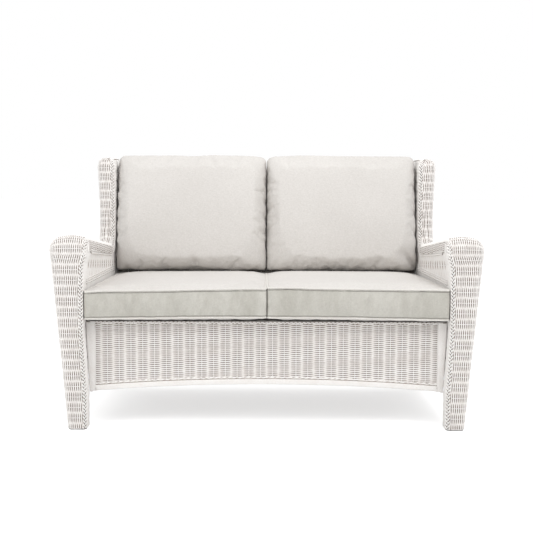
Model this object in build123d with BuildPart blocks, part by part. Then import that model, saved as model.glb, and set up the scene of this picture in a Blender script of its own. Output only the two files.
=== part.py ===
from build123d import *
import os
from math import cos, radians, sin, tan

os.makedirs("parts", exist_ok=True)

# Woven seat for two, in millimetres: X to the right, the front faces -Y, Z up.
# The origin is on the floor, under the middle of the whole.

# Fits
seat_gap = 0.3  # between pieces that lie against each other
tie_gap = 0.5  # between a woven sheet and the tube that it is tied to
overrun = 40.0  # how far a cutting shape runs past what it cuts

# Stock
weave = 6.0
tube = 19.0
tube_wall = 1.5
slim_tube = 12.0
slim_wall = 1.2
wing_pipe = 16.0
hoop_bar = 8.0
bend = 40.0
post_bend = 28.0
wing_bend = 34.0

# Overall
depth = 800.0
leg_spread = 1134.0  # clear width between the front legs
post_line = 588.0  # from the middle to the axis of the leg tubes

# Front leg, from the foot up to where the arm rolls over
leg_foot_width = 61.0
leg_toe = 10.0  # how far the lower leg reaches inwards
leg_toe_top = 300.0
leg_knee_width = 90.0
leg_throat_width = 104.0
leg_foot_depth = 60.0
leg_knee_depth = 80.0
leg_top_depth = 90.0
leg_knee_share = 0.78
leg_throat_share = 0.92
leg_round = 14.0
leg_rear_round = 8.0
leg_tube_setback = 30.0

# Arm
arm_height = 604.0
fall_radius = 50.0  # of the waterfall at the front of the arm
arm_slope = 6.4  # degrees, down to the rear
roll_overhang = 16.0  # of the roll past the inner face of the leg
roll_width = 124.0
roll_inner_round = 26.0
roll_outer_round = 40.0
roll_crown = 4.0
pivot_gap = 2.0  # keeps the section clear of the axis that it turns about
arm_rear_round = 22.0
arm_rear_drop = 40.0
turn_radius = 55.0  # where the arm turns up into the wing
hoop_shares = (0.08, 0.4, 0.72)
hoop_round_share = 0.97

# Rear leg and wing
pillar_inner = 545.0
pillar_outer = 604.0
pillar_round = 14.0
rear_leg_depth = 60.0
rear_leg_splay = 31.0
wing_front = 166.0
wing_height = 852.0
wing_top_front = 199.0
wing_top_outer = 618.0
wing_top_inner = 549.0
wing_dome = 20.0
wing_round = 24.0
wing_rise_shares = (0, 0.25, 0.5, 0.65, 0.88, 0.96, 1)
wing_flare_shares = (0, 0.25, 0.75, 1, 1, 1, 1)
wing_dome_shares = (0, 0, 0, 0, 0.05, 0.35, 1)
wing_pipe_share = 0.82
wing_pipe_setback = 24.0

# Back
seat_line = 335.0  # height where the back starts to lean
recline = 11.0  # degrees
back_face = 215.0  # front face of the back at the seat line
back_drop = 25.0  # of the back weave below the seat line
back_height = 820.0
back_roll_radius = 49.75
roll_lip_angle = 35.0  # how far the top roll curls in below its rearmost line
roll_rail_angle = -12.0
lower_rail_drop = 12.0
strut_count = 5

# Seat frame, apron and skirts
deck_top = 333.0
seat_rear = 170.0
cross_bar_count = 3
apron_setback = 55.0
apron_gap = 8.0  # between the apron's end and the leg
apron_low = 110.0
apron_rise = 23.0
apron_wrap = 22.0
apron_wrap_proud = 2.0
rope_band = 20.0
upright_count = 5
apron_rail_lift = 12.0
panel_inset = 6.0
skirt_rise = 20.0
bottom_rail_height = 165.0
rear_rail_height = 190.0

# Feet
glide_height = 4.0
glide_inset = 3.0
glide_plug = 25.0

# Fasteners
bolt = 8.0
bolt_head = 13.0
bolt_head_height = 5.5
nut_height = 6.5
spacer = 16.0
seat_bolt_front = -180.0
seat_bolt_rear = 20.0
back_bolt_low = 70.0
back_bolt_drop = 60.0  # of the upper bolt below the foot of the wing

# Cushions
cover = 2.0
cushion_gap = 1.0  # half the gap between neighbouring cushions
seat_cushion_side = 566.0
seat_cushion_rear_side = 532.0
seat_cushion_front = -394.0
seat_cushion_rear = 198.0
seat_cushion_edge = 102.0  # height at the piping, above the deck
seat_cushion_crown = 15.0
seat_cushion_draw = 5.0  # how far the front is drawn in between its corners
seat_cushion_bulge = 4.0
seat_cushion_trim = 6.0
# Each station: share of the width, share of the crown, share of the draw, share of the end trim
seat_cushion_station_shares = (
    (0, 0.4, 0, 1),
    (0.03, 0.55, 0.1, 0),
    (0.25, 0.9, 0.8, 0),
    (0.5, 1, 1, 0),
    (0.75, 0.9, 0.8, 0),
    (0.97, 0.55, 0.1, 0),
    (1, 0.4, 0, 1),
)
back_cushion_side = 541.0
back_cushion_front = 84.0
back_cushion_top = 860.0
back_cushion_head = 86.0
back_cushion_belly = 26.0
back_cushion_shoulder = 24.0
back_cushion_lip = 10.0
back_cushion_lift = 5.0
back_cushion_round = 20.0
back_cushion_gap = 0.4
# Each station: share of the width, share of the fullness, share of the end trim
back_cushion_station_shares = (
    (0, 0.4, 1),
    (0.05, 0.66, 0.42),
    (0.17, 0.88, 0.1),
    (0.5, 1, 0),
    (0.83, 0.88, 0.1),
    (0.95, 0.66, 0.42),
    (1, 0.4, 1),
)

# Worked out from the sizes above
front = -depth / 2
leg_inner = leg_spread / 2
roll_inner = leg_inner - roll_overhang
roll_outer = roll_inner + roll_width
fall_y = front + fall_radius
fall_z = arm_height - fall_radius
roll_drop = fall_radius - pivot_gap
knee_z = fall_z * leg_knee_share
foot_inner = leg_inner - leg_toe
foot_outer = foot_inner + leg_foot_width
knee_outer = leg_inner + leg_knee_width
throat_z = fall_z * leg_throat_share
throat_inner = leg_inner - roll_overhang / 4
rail = tube / 2
bore = rail - tube_wall
slim = slim_tube / 2
slim_bore = slim - slim_wall
bolt_hole = bolt / 2 + seat_gap
slope = radians(arm_slope)
arm_turn = 90 + arm_slope
tilt = radians(recline)
lean = tan(tilt)

fall_end_y = fall_y + fall_radius * sin(slope)
fall_end_z = fall_z + fall_radius * cos(slope)
turn_y = wing_front - turn_radius
turn_z = fall_end_z - (turn_y - fall_end_y) * tan(slope) + turn_radius / cos(slope)
turn_start_y = turn_y - turn_radius * sin(slope)
turn_start_z = turn_z - turn_radius * cos(slope)

back_thickness = tube + 2 * (weave + tie_gap)
back_run = back_thickness / cos(tilt)
back_half = pillar_inner - seat_gap
post_seat_y = back_face + back_run / 2
pillar_rear = back_face + back_run
pillar_front = wing_front + arm_rear_drop / 2
roll_z = back_height - back_roll_radius
roll_y = back_face + (roll_z - seat_line) * lean + back_roll_radius / cos(tilt)
roll_rear = roll_y + back_roll_radius
roll_reach = (roll_y - back_face) * sin(tilt) + (roll_z - seat_line) * cos(tilt)
stile_line = back_half - tie_gap - rail

leg_tube_y = front + leg_tube_setback
arm_tube_drop = roll_crown + weave + tie_gap + hoop_bar + seat_gap + rail
seat_side_line = leg_inner - tie_gap - rail
rail_z = deck_top - weave - tie_gap - rail
apron_face = front + apron_setback
apron_side = leg_inner - apron_gap
seat_front = apron_face + weave + tie_gap + rail
bolt_rows = (seat_bolt_front, seat_bolt_rear)

# Height of the seat cushion's crown where the back cushion's front edge stands on it
seat_cushion_run = seat_cushion_rear - seat_cushion_front
crown_radius = (seat_cushion_run ** 2 / 4 + seat_cushion_crown ** 2) / (2 * seat_cushion_crown)
crown_reach = back_cushion_front - (seat_cushion_front + seat_cushion_rear) / 2
crown_dip = crown_radius - (crown_radius ** 2 - crown_reach ** 2) ** 0.5
back_cushion_low = deck_top + seat_cushion_edge + seat_cushion_crown - crown_dip + back_cushion_gap


def back_y(z):
    """Front face of the back at a height."""
    return back_face + (z - seat_line) * lean


def leg_y(z):
    """Axis of the rear leg at a height below the seat line."""
    return post_seat_y + rear_leg_splay * (seat_line - z) / (seat_line - glide_height)


def across(y, z, turn):
    """Plane across the arm's run. Local x is world X, local y points out of the arm's top."""
    angle = radians(turn)
    return Plane(origin=(0, y, z), x_dir=(1, 0, 0), z_dir=(0, -sin(angle), -cos(angle)))


def upright(y):
    """Upright plane across the seat, with local y up."""
    return Plane(origin=(0, y, 0), x_dir=(1, 0, 0), z_dir=(0, -1, 0))


def level(z):
    """Level plane with local y towards the front."""
    return across(0, z, 0)


def in_back(inset):
    """Plane parallel to the back, this far behind its front face, with local y up the slope."""
    origin = (0, back_face + inset * cos(tilt), seat_line - inset * sin(tilt))
    return Plane(origin=origin, x_dir=(1, 0, 0), z_dir=(0, -cos(tilt), sin(tilt)))


def in_back_point(x, rise, inset):
    """World place of a point that lies in the back."""
    y = back_face + inset * cos(tilt) + rise * sin(tilt)
    z = seat_line - inset * sin(tilt) + rise * cos(tilt)
    return (x, y, z)


def export_single(part, name):
    """Names a piece and writes it."""
    part.label = name
    export_step(part, f"parts/{name}.step")


def export_pair(part, name):
    """Writes a right-hand piece and its mirror image."""
    export_single(part, f"{name}_right")
    with BuildPart() as twin:
        mirror(part, about=Plane.YZ)
    export_single(twin.part, f"{name}_left")


def rod(start, end, radius, hollow=0):
    """Straight bar or tube between two points."""
    run = Vector(*end) - Vector(*start)
    with BuildPart() as bar:
        with BuildSketch(Plane(origin=start, z_dir=run)):
            Circle(radius)
            if hollow:
                Circle(hollow, mode=Mode.SUBTRACT)
        extrude(amount=run.length)
    return bar.part


def bent(points, bends, radius, hollow=0):
    """Bar or tube through points, with a radius at each corner."""
    start = Vector(*points[0])
    with BuildPart() as pipe:
        with BuildLine():
            FilletPolyline(*points, radius=bends)
        with BuildSketch(Plane(origin=start, z_dir=Vector(*points[1]) - start)):
            Circle(radius)
            if hollow:
                Circle(hollow, mode=Mode.SUBTRACT)
        sweep()
    return pipe.part


def loop(plane, left, right, low, top, rounds, inset=0):
    """Rounded box outline. The rounds are those of the top left, top right and low corners."""
    west, east = left + inset, right - inset
    south, north = low + inset, top - inset
    left_round, right_round, low_round = (size - inset for size in rounds)
    with BuildSketch(plane) as face:
        with BuildLine():
            Line((west, south + low_round), (west, north - left_round))
            CenterArc((west + left_round, north - left_round), left_round, 180, -90)
            Line((west + left_round, north), (east - right_round, north))
            CenterArc((east - right_round, north - right_round), right_round, 90, -90)
            Line((east, north - right_round), (east, south + low_round))
            CenterArc((east - low_round, south + low_round), low_round, 0, -90)
            Line((east - low_round, south), (west + low_round, south))
            CenterArc((west + low_round, south + low_round), low_round, 270, -90)
        make_face()
    return face.sketch


def arch(plane, left, right, low, top, left_round, right_round):
    """Section of the woven sheet over the arm, open below."""
    shoulder = top - roll_crown
    crest = (left + right) / 2
    left_eye = (left + left_round, shoulder - left_round)
    right_eye = (right - right_round, shoulder - right_round)
    with BuildSketch(plane) as face:
        with BuildLine():
            Line((left, low), (left, left_eye[1]))
            CenterArc(left_eye, left_round, 180, -90)
            ThreePointArc((left_eye[0], shoulder), (crest, top), (right_eye[0], shoulder))
            CenterArc(right_eye, right_round, 90, -90)
            Line((right, right_eye[1]), (right, low))
            Line((right, low), (right - weave, low))
            Line((right - weave, low), (right - weave, right_eye[1]))
            CenterArc(right_eye, right_round - weave, 0, 90)
            ThreePointArc(
                (right_eye[0], shoulder - weave), (crest, top - weave), (left_eye[0], shoulder - weave)
            )
            CenterArc(left_eye, left_round - weave, 90, 90)
            Line((left + weave, left_eye[1]), (left + weave, low))
            Line((left + weave, low), (left, low))
        make_face()
    return face.sketch


def filled(plane, left, right, low, top, left_round, right_round):
    """Box round the arm's section, with the seat gap added."""
    with BuildSketch(plane) as face:
        with Locations(((left + right) / 2, (low + top) / 2)):
            Rectangle(right - left + 2 * seat_gap, top - low + 2 * seat_gap)
    return face.sketch


def along_arm(section):
    """Takes a section over the waterfall, along the arm and up the turn into the wing."""
    head = (roll_inner, roll_outer, pivot_gap, fall_radius, roll_inner_round, roll_outer_round)
    tail = (pillar_inner, pillar_outer, -turn_radius - arm_rear_drop, -turn_radius)
    tail_rounds = (arm_rear_round, arm_rear_round)
    with BuildPart() as run:
        start = section(across(fall_y, fall_z, 0), *head)
        revolve(start, Axis((0, fall_y, fall_z), (-1, 0, 0)), arm_turn)
        fore = section(across(fall_y, fall_z, arm_turn), *head)
        aft = section(across(turn_y, turn_z, arm_turn), *tail, *tail_rounds)
        loft([fore, aft])
        revolve(aft, Axis((0, turn_y, turn_z), (1, 0, 0)), arm_turn)
    return run.part


def leg_size(z, foot, knee):
    """Size of the front leg at a height below its knee, from its sizes at the foot and at the knee."""
    return foot + (knee - foot) * (z - glide_height) / (knee_z - glide_height)


def front_leg(inset):
    """Outer form of the front leg, drawn in all round by the inset."""
    foot_rounds = (leg_round, leg_round, leg_rear_round)
    top_rounds = (roll_inner_round, roll_outer_round, leg_rear_round)
    throat_rounds = tuple((foot + top) / 2 for foot, top in zip(foot_rounds, top_rounds))
    inner_edge = (
        (glide_height, foot_inner), (apron_low, foot_inner), (leg_toe_top, leg_inner), (knee_z, leg_inner),
    )
    stations = [
        (
            z, left, leg_size(z, foot_outer, knee_outer) - left,
            leg_size(z, leg_foot_depth, leg_knee_depth), foot_rounds,
        )
        for z, left in inner_edge
    ]
    stations += [
        (throat_z, throat_inner, leg_throat_width, leg_top_depth, throat_rounds),
        (fall_z - seat_gap, roll_inner, roll_width, leg_top_depth, top_rounds),
    ]
    with BuildPart() as form:
        loft([
            loop(level(z), left, left + width, -front - deep, -front, rounds, inset)
            for z, left, width, deep, rounds in stations
        ], ruled=True)
    return form.part


def rear_leg(inset):
    """Outer form of the rear leg up to the wing, drawn in all round by the inset."""
    rounds = (pillar_round, pillar_round, pillar_round)
    foot_rear = pillar_rear + rear_leg_splay
    stations = (
        (glide_height, foot_rear - rear_leg_depth, foot_rear),
        (seat_line, pillar_front, pillar_rear),
        (turn_z, pillar_front, back_y(turn_z) + back_run),
    )
    with BuildPart() as form:
        loft([
            loop(level(z), pillar_inner, pillar_outer, -rear_y, -front_y, rounds, inset)
            for z, front_y, rear_y in stations
        ], ruled=True)
    return form.part


def wing(inset):
    """Outer form of the wing, drawn in by the inset at its sides and its top."""
    foot = turn_z + seat_gap
    sections = []
    for rise, flare, dome_share in zip(wing_rise_shares, wing_flare_shares, wing_dome_shares):
        z = foot + (wing_height - inset - foot) * rise
        dome = wing_dome * dome_share
        rear_y = back_y(z) + back_run
        rear_y = rear_y + (roll_rear - rear_y) * flare - dome
        front_y = wing_front + (wing_top_front - wing_front) * rise + dome
        left = pillar_inner + (wing_top_inner - pillar_inner) * rise + dome
        right = pillar_outer + (wing_top_outer - pillar_outer) * rise * rise - dome
        front_round = wing_round + (pillar_round - wing_round) * dome_share
        rounds = (front_round, front_round, pillar_round)
        sections.append(loop(level(z), left, right, -rear_y, -front_y, rounds, inset))
    with BuildPart() as form:
        loft(sections, ruled=True)
    return form.part


def panel_section(y, wide, high, thick):
    """Section of a side panel. It is straight at the bottom and curves at the top."""
    points = list(zip(wide, high))
    inside = [(x + thick, z) for x, z in points]
    with BuildSketch(upright(y)) as face:
        with BuildLine():
            Line(points[0], points[1])
            ThreePointArc(points[1], points[2], points[3])
            Line(points[3], inside[3])
            ThreePointArc(inside[3], inside[2], inside[1])
            Line(inside[1], inside[0])
            Line(inside[0], points[0])
        make_face()
    return face.sketch


def side_view(low):
    """Side outline of a panel under the arm, up to the middle of the arm's depth."""
    start = fall_y + pivot_gap
    middle = arm_rear_drop / 2
    under_fall = fall_radius - middle
    under_turn = turn_radius + middle
    head = (fall_y + under_fall * sin(slope), fall_z + under_fall * cos(slope))
    neck = (turn_y - under_turn * sin(slope), turn_z - under_turn * cos(slope))
    with BuildSketch(Plane.YZ) as face:
        with BuildLine():
            Line((start, low), (start, head[1]))
            Line((start, head[1]), head)
            Line(head, neck)
            CenterArc((turn_y, turn_z), under_turn, 270 - arm_slope, arm_turn)
            Line((turn_y + under_turn, turn_z), (post_seat_y, turn_z))
            Line((post_seat_y, turn_z), (post_seat_y, low))
            Line((post_seat_y, low), (start, low))
        make_face()
    return face.sketch


def arched_slice(plane, side, edge, rise, reach):
    """Slice that starts at an arched edge over both sides of the middle and reaches up or down."""
    with BuildSketch(plane) as face:
        with BuildLine():
            ThreePointArc((-side, edge), (0, edge + rise), (side, edge))
            Line((side, edge), (side, edge + reach))
            Line((side, edge + reach), (-side, edge + reach))
            Line((-side, edge + reach), (-side, edge))
        make_face()
    return face.sketch


def arch_z(x, side, low, rise):
    """Height of an arched lower edge at a distance from the middle."""
    radius = (side * side + rise * rise) / (2 * rise)
    return low + rise - radius + (radius * radius - x * x) ** 0.5


# Solid stand-ins for the tubes and the woven forms, used to cope and notch their neighbours
tube_corner_z = fall_end_z - (leg_tube_y - fall_end_y) * tan(slope) - arm_tube_drop / cos(slope)
arm_fall_line = tube_corner_z + leg_tube_y * tan(slope)
arm_tube_end_z = (arm_fall_line - (post_seat_y - seat_line * lean) * tan(slope)) / (1 + lean * tan(slope))
arm_tube_end_y = (arm_fall_line - arm_tube_end_z) / tan(slope)
leg_tube_path = (
    (post_line, leg_tube_y, glide_height),
    (post_line, leg_tube_y, tube_corner_z),
    (post_line, arm_tube_end_y, arm_tube_end_z),
)
post_path = (
    (post_line, leg_y(0), 0),
    (post_line, post_seat_y, seat_line),
    in_back_point(post_line, roll_reach, back_thickness / 2),
)
arm_room = along_arm(filled)
rear_leg_room = rear_leg(-seat_gap)
post_room = bent(post_path, post_bend, rail + seat_gap)
leg_tube_room = bent(leg_tube_path, bend, rail + seat_gap)
with BuildPart() as front_leg_room:
    add(front_leg(-seat_gap))
    extrude(front_leg_room.faces().sort_by(Axis.Z)[-1], amount=pivot_gap)

side_rail_ends = ((post_line, leg_tube_y, rail_z), (post_line, leg_y(rail_z), rail_z))
low_rail_ends = (
    (post_line, leg_tube_y, bottom_rail_height),
    (post_line, leg_y(bottom_rail_height), bottom_rail_height),
)
rear_rail_side = (post_line, leg_y(rear_rail_height), rear_rail_height)
rear_rail_other = (-post_line, leg_y(rear_rail_height), rear_rail_height)

seat_bolt_head = post_line + rail + seat_gap
seat_bolt_end = seat_side_line - rail - seat_gap - nut_height
back_bolt_head = stile_line - rail - seat_gap
back_bolt_end = post_line
back_bolt_rises = (back_bolt_low, (turn_z - back_bolt_drop - seat_line) / cos(tilt))


def seat_bolt_room(y):
    """Hole for a bolt through the side rails."""
    start = (seat_bolt_head + bolt_head_height, y, rail_z)
    return rod(start, (seat_bolt_end, y, rail_z), bolt_hole)


def back_bolt_room(rise):
    """Hole for a bolt from the back's frame into the post."""
    start = in_back_point(back_bolt_head, rise, back_thickness / 2)
    return rod(start, in_back_point(back_bolt_end, rise, back_thickness / 2), bolt_hole)


# Tubes of the arm frames
with BuildPart() as front_leg_tube:
    add(bent(leg_tube_path, bend, rail, bore))
    add(post_room, mode=Mode.SUBTRACT)
export_pair(front_leg_tube.part, "front_leg_tube")

with BuildPart() as rear_post_tube:
    add(bent(post_path, post_bend, rail, bore))
    split(bisect_by=Plane.XY.offset(glide_height), keep=Keep.TOP)
    for rise in back_bolt_rises:
        add(back_bolt_room(rise), mode=Mode.SUBTRACT)
export_pair(rear_post_tube.part, "rear_post_tube")

with BuildPart() as side_seat_rail:
    add(rod(*side_rail_ends, rail, bore))
    add(leg_tube_room, mode=Mode.SUBTRACT)
    add(post_room, mode=Mode.SUBTRACT)
    for y in bolt_rows:
        add(seat_bolt_room(y), mode=Mode.SUBTRACT)
export_pair(side_seat_rail.part, "side_seat_rail")

with BuildPart() as side_bottom_rail:
    add(rod(*low_rail_ends, rail, bore))
    add(leg_tube_room, mode=Mode.SUBTRACT)
    add(post_room, mode=Mode.SUBTRACT)
export_pair(side_bottom_rail.part, "side_bottom_rail")

with BuildPart() as rear_bottom_rail:
    add(rod(rear_rail_side, rear_rail_other, rail, bore))
    add(post_room, mode=Mode.SUBTRACT)
    add(mirror(post_room, about=Plane.YZ, mode=Mode.PRIVATE), mode=Mode.SUBTRACT)
export_single(rear_bottom_rail.part, "rear_bottom_rail")

wing_pipe_radius = wing_pipe / 2
wing_lean = (wing_top_front - wing_front) / (wing_height - turn_z)


def wing_pipe_y(z):
    """Axis of the wing tube behind the wing's front edge."""
    return wing_front + (z - turn_z) * wing_lean + wing_pipe_setback


wing_pipe_foot_z = arm_tube_end_z + (arm_tube_end_y - pillar_front) * tan(slope)
wing_pipe_top_z = turn_z + (wing_height - turn_z) * wing_pipe_share
wing_pipe_path = (
    (post_line, wing_pipe_y(wing_pipe_foot_z), wing_pipe_foot_z),
    (post_line, wing_pipe_y(wing_pipe_top_z), wing_pipe_top_z),
    (post_line, back_y(wing_pipe_top_z) + back_run / 2, wing_pipe_top_z),
)
with BuildPart() as wing_tube:
    add(bent(wing_pipe_path, wing_bend, wing_pipe_radius, wing_pipe_radius - slim_wall))
    add(post_room, mode=Mode.SUBTRACT)
    add(leg_tube_room, mode=Mode.SUBTRACT)
export_pair(wing_tube.part, "wing_tube")

# Hoops that carry the roll of the arm, on top of the arm tube
hoop_radius = hoop_bar / 2
hoop_inset = weave + tie_gap + hoop_radius
with BuildPart() as arm_hoops:
    for share in hoop_shares:
        rest = 1 - share
        plane = across(
            fall_end_y * rest + turn_start_y * share, fall_end_z * rest + turn_start_z * share, arm_turn
        )
        left = roll_inner * rest + pillar_inner * share + hoop_inset
        right = roll_outer * rest + pillar_outer * share - hoop_inset
        top = -roll_crown - hoop_inset
        low = -roll_drop * rest - arm_rear_drop * share
        limit = (top - low) * hoop_round_share
        rounds = [
            min(roll_inner_round * rest + arm_rear_round * share - hoop_inset, limit),
            min(roll_outer_round * rest + arm_rear_round * share - hoop_inset, limit),
        ]
        corners = [(left, low), (left, top), (right, top), (right, low)]
        points = [tuple(plane.from_local_coords(Vector(x, y))) for x, y in corners]
        add(bent(points, rounds, hoop_radius))
    mirror(about=Plane.YZ)
export_single(arm_hoops.part, "arm_hoops")

# Woven forms of the arm frames
with BuildPart() as front_leg_weave:
    add(front_leg(0))
    add(front_leg(weave), mode=Mode.SUBTRACT)
    add(arm_room, mode=Mode.SUBTRACT)
    add(rod(*side_rail_ends, rail + seat_gap), mode=Mode.SUBTRACT)
    add(rod(*low_rail_ends, rail + seat_gap), mode=Mode.SUBTRACT)
export_pair(front_leg_weave.part, "front_leg_weave")

with BuildPart() as rear_leg_weave:
    add(rear_leg(0))
    add(rear_leg(weave), mode=Mode.SUBTRACT)
    add(arm_room, mode=Mode.SUBTRACT)
    add(rod(*side_rail_ends, rail + seat_gap), mode=Mode.SUBTRACT)
    add(rod(*low_rail_ends, rail + seat_gap), mode=Mode.SUBTRACT)
    add(rod(rear_rail_side, rear_rail_other, rail + seat_gap), mode=Mode.SUBTRACT)
    add(leg_tube_room, mode=Mode.SUBTRACT)
    add(bent(wing_pipe_path, wing_bend, wing_pipe_radius + seat_gap), mode=Mode.SUBTRACT)
    for rise in back_bolt_rises:
        add(back_bolt_room(rise), mode=Mode.SUBTRACT)
export_pair(rear_leg_weave.part, "rear_leg_weave")

arm_weave = along_arm(arch)
export_pair(arm_weave, "arm_weave")

with BuildPart() as wing_weave:
    add(wing(0))
    add(wing(weave), mode=Mode.SUBTRACT)
export_pair(wing_weave.part, "wing_weave")

panel_top = arm_height + overrun
side_low = apron_low
side_foot = leg_size(side_low, foot_outer, knee_outer)
side_front = (side_foot, knee_outer, throat_inner + leg_throat_width, roll_outer)
side_rear = (pillar_outer, pillar_outer, pillar_outer - seat_gap, pillar_outer)
side_high = (side_low, knee_z, throat_z, panel_top)
with BuildPart() as side_weave:
    loft([
        panel_section(fall_y, [x - panel_inset for x in side_front], side_high, -weave),
        panel_section(post_seat_y, side_rear, side_high, -weave),
    ], ruled=True)
    extrude(side_view(side_low), amount=roll_outer, mode=Mode.INTERSECT)
    add(arm_room, mode=Mode.SUBTRACT)
    add(front_leg_room.part, mode=Mode.SUBTRACT)
    add(rear_leg_room, mode=Mode.SUBTRACT)
    with BuildSketch(Plane.YZ):
        with BuildLine():
            ThreePointArc(
                (fall_y, side_low),
                ((fall_y + pillar_front) / 2, side_low + skirt_rise),
                (pillar_front, side_low),
            )
            Line((pillar_front, side_low), (pillar_front, side_low - overrun))
            Line((pillar_front, side_low - overrun), (fall_y, side_low - overrun))
            Line((fall_y, side_low - overrun), (fall_y, side_low))
        make_face()
    extrude(amount=roll_outer, mode=Mode.SUBTRACT)
export_pair(side_weave.part, "side_weave")

inner_low = deck_top + seat_gap
inner_front = (leg_inner, leg_inner, throat_inner, roll_inner)
inner_rear = (pillar_inner, pillar_inner, pillar_inner + seat_gap, pillar_inner)
inner_high = (inner_low, knee_z, throat_z, fall_z)
with BuildPart() as inner_arm_weave:
    loft([
        panel_section(fall_y, [x + tie_gap for x in inner_front], inner_high, weave),
        panel_section(post_seat_y, [x + tie_gap for x in inner_rear], inner_high, weave),
    ], ruled=True)
    extrude(side_view(inner_low), amount=roll_outer, mode=Mode.INTERSECT)
    add(arm_room, mode=Mode.SUBTRACT)
    add(front_leg_room.part, mode=Mode.SUBTRACT)
    add(rear_leg_room, mode=Mode.SUBTRACT)
export_pair(inner_arm_weave.part, "inner_arm_weave")

# Feet
with BuildPart() as foot_glides:
    foot_rear = pillar_rear + rear_leg_splay
    front_foot = loop(
        level(0), foot_inner, foot_outer, -front - leg_foot_depth, -front,
        (leg_round, leg_round, leg_rear_round), glide_inset,
    )
    rear_foot = loop(
        level(0), pillar_inner, pillar_outer, -foot_rear, rear_leg_depth - foot_rear,
        (pillar_round, pillar_round, pillar_round), glide_inset,
    )
    extrude(front_foot, amount=glide_height, dir=(0, 0, 1))
    extrude(rear_foot, amount=glide_height, dir=(0, 0, 1))
    plug_top = glide_height + glide_plug
    plug = bore - seat_gap
    add(rod((post_line, leg_tube_y, glide_height / 2), (post_line, leg_tube_y, plug_top), plug))
    rear_plug_foot = (post_line, leg_y(glide_height / 2), glide_height / 2)
    add(rod(rear_plug_foot, (post_line, leg_y(plug_top), plug_top), plug))
    mirror(about=Plane.YZ)
export_single(foot_glides.part, "foot_glides")

# Seat frame
seat_side_ends = (
    (seat_side_line, apron_face + weave + tie_gap, rail_z),
    (seat_side_line, seat_rear + rail, rail_z),
)
with BuildPart() as seat_side_rail:
    add(rod(*seat_side_ends, rail, bore))
    for y in bolt_rows:
        add(seat_bolt_room(y), mode=Mode.SUBTRACT)
export_pair(seat_side_rail.part, "seat_side_rail")

cross_end = seat_side_line - rail - seat_gap
seat_front_rail = rod((-cross_end, seat_front, rail_z), (cross_end, seat_front, rail_z), rail, bore)
export_single(seat_front_rail, "seat_front_rail")

seat_rear_rail = rod((-cross_end, seat_rear, rail_z), (cross_end, seat_rear, rail_z), rail, bore)
export_single(seat_rear_rail, "seat_rear_rail")

cross_step = 2 * seat_side_line / (cross_bar_count + 1)
with BuildPart() as seat_cross_bars:
    with Locations([(cross_step * (index + 1) - seat_side_line, 0) for index in range(cross_bar_count)]):
        add(rod(
            (0, seat_front + rail + seat_gap, rail_z), (0, seat_rear - rail - seat_gap, rail_z), rail, bore
        ))
export_single(seat_cross_bars.part, "seat_cross_bars")

deck_side = leg_inner - tie_gap
deck_neck = pillar_front - seat_gap
deck_rear = back_y(deck_top - weave) - seat_gap
with BuildPart() as seat_deck_weave:
    with BuildSketch(Plane.XY.offset(deck_top - weave)):
        with BuildLine():
            Polyline(
                (-deck_side, apron_face + weave + tie_gap),
                (deck_side, apron_face + weave + tie_gap),
                (deck_side, deck_neck),
                (back_half, deck_neck),
                (back_half, deck_rear),
                (-back_half, deck_rear),
                (-back_half, deck_neck),
                (-deck_side, deck_neck),
                close=True,
            )
        make_face()
    extrude(amount=weave)
export_single(seat_deck_weave.part, "seat_deck_weave")

# Apron: a woven sheet between wrapped end strips, over a rope band along the arched edge
apron_inner = apron_side - apron_wrap
apron_top = deck_top
band_top = apron_low + rope_band
apron_cut_plane = upright(apron_face - overrun)
with BuildPart() as front_apron_weave:
    with BuildSketch(upright(apron_face)):
        with Locations((0, (apron_low + apron_top) / 2)):
            Rectangle(2 * (apron_inner - seat_gap), apron_top - apron_low)
    extrude(amount=-weave)
    band_edge = arched_slice(apron_cut_plane, apron_side, band_top + seat_gap, apron_rise, -overrun)
    extrude(band_edge, amount=-2 * overrun, mode=Mode.SUBTRACT)
export_single(front_apron_weave.part, "front_apron_weave")

with BuildPart() as apron_rope:
    with BuildSketch(upright(apron_face - apron_wrap_proud)):
        with Locations((0, band_top)):
            Rectangle(2 * (apron_inner - seat_gap), 2 * (rope_band + apron_rise))
    extrude(amount=-weave - apron_wrap_proud)
    low_edge = arched_slice(apron_cut_plane, apron_side, apron_low, apron_rise, -overrun)
    extrude(low_edge, amount=-2 * overrun, mode=Mode.SUBTRACT)
    high_edge = arched_slice(apron_cut_plane, apron_side, band_top, apron_rise, overrun + apron_rise)
    extrude(high_edge, amount=-2 * overrun, mode=Mode.SUBTRACT)
export_single(apron_rope.part, "apron_rope")

with BuildPart() as apron_end_wrap:
    with BuildSketch(upright(apron_face - apron_wrap_proud)):
        with Locations(((apron_inner + apron_side) / 2, (apron_low + apron_top) / 2)):
            Rectangle(apron_wrap, apron_top - apron_low)
    extrude(amount=-weave - apron_wrap_proud)
    fillet(apron_end_wrap.edges().filter_by(Axis.Z).group_by(Axis.Y)[0], radius=weave / 2)
    add(front_leg_room.part, mode=Mode.SUBTRACT)
export_pair(apron_end_wrap.part, "apron_end_wrap")

# Tubes behind the apron
apron_rail_y = apron_face + weave + tie_gap + slim
apron_rail_z = apron_low + apron_rail_lift
upright_side = seat_side_line - rail - seat_gap - slim
upright_step = 2 * upright_side / (upright_count - 1)

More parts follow.
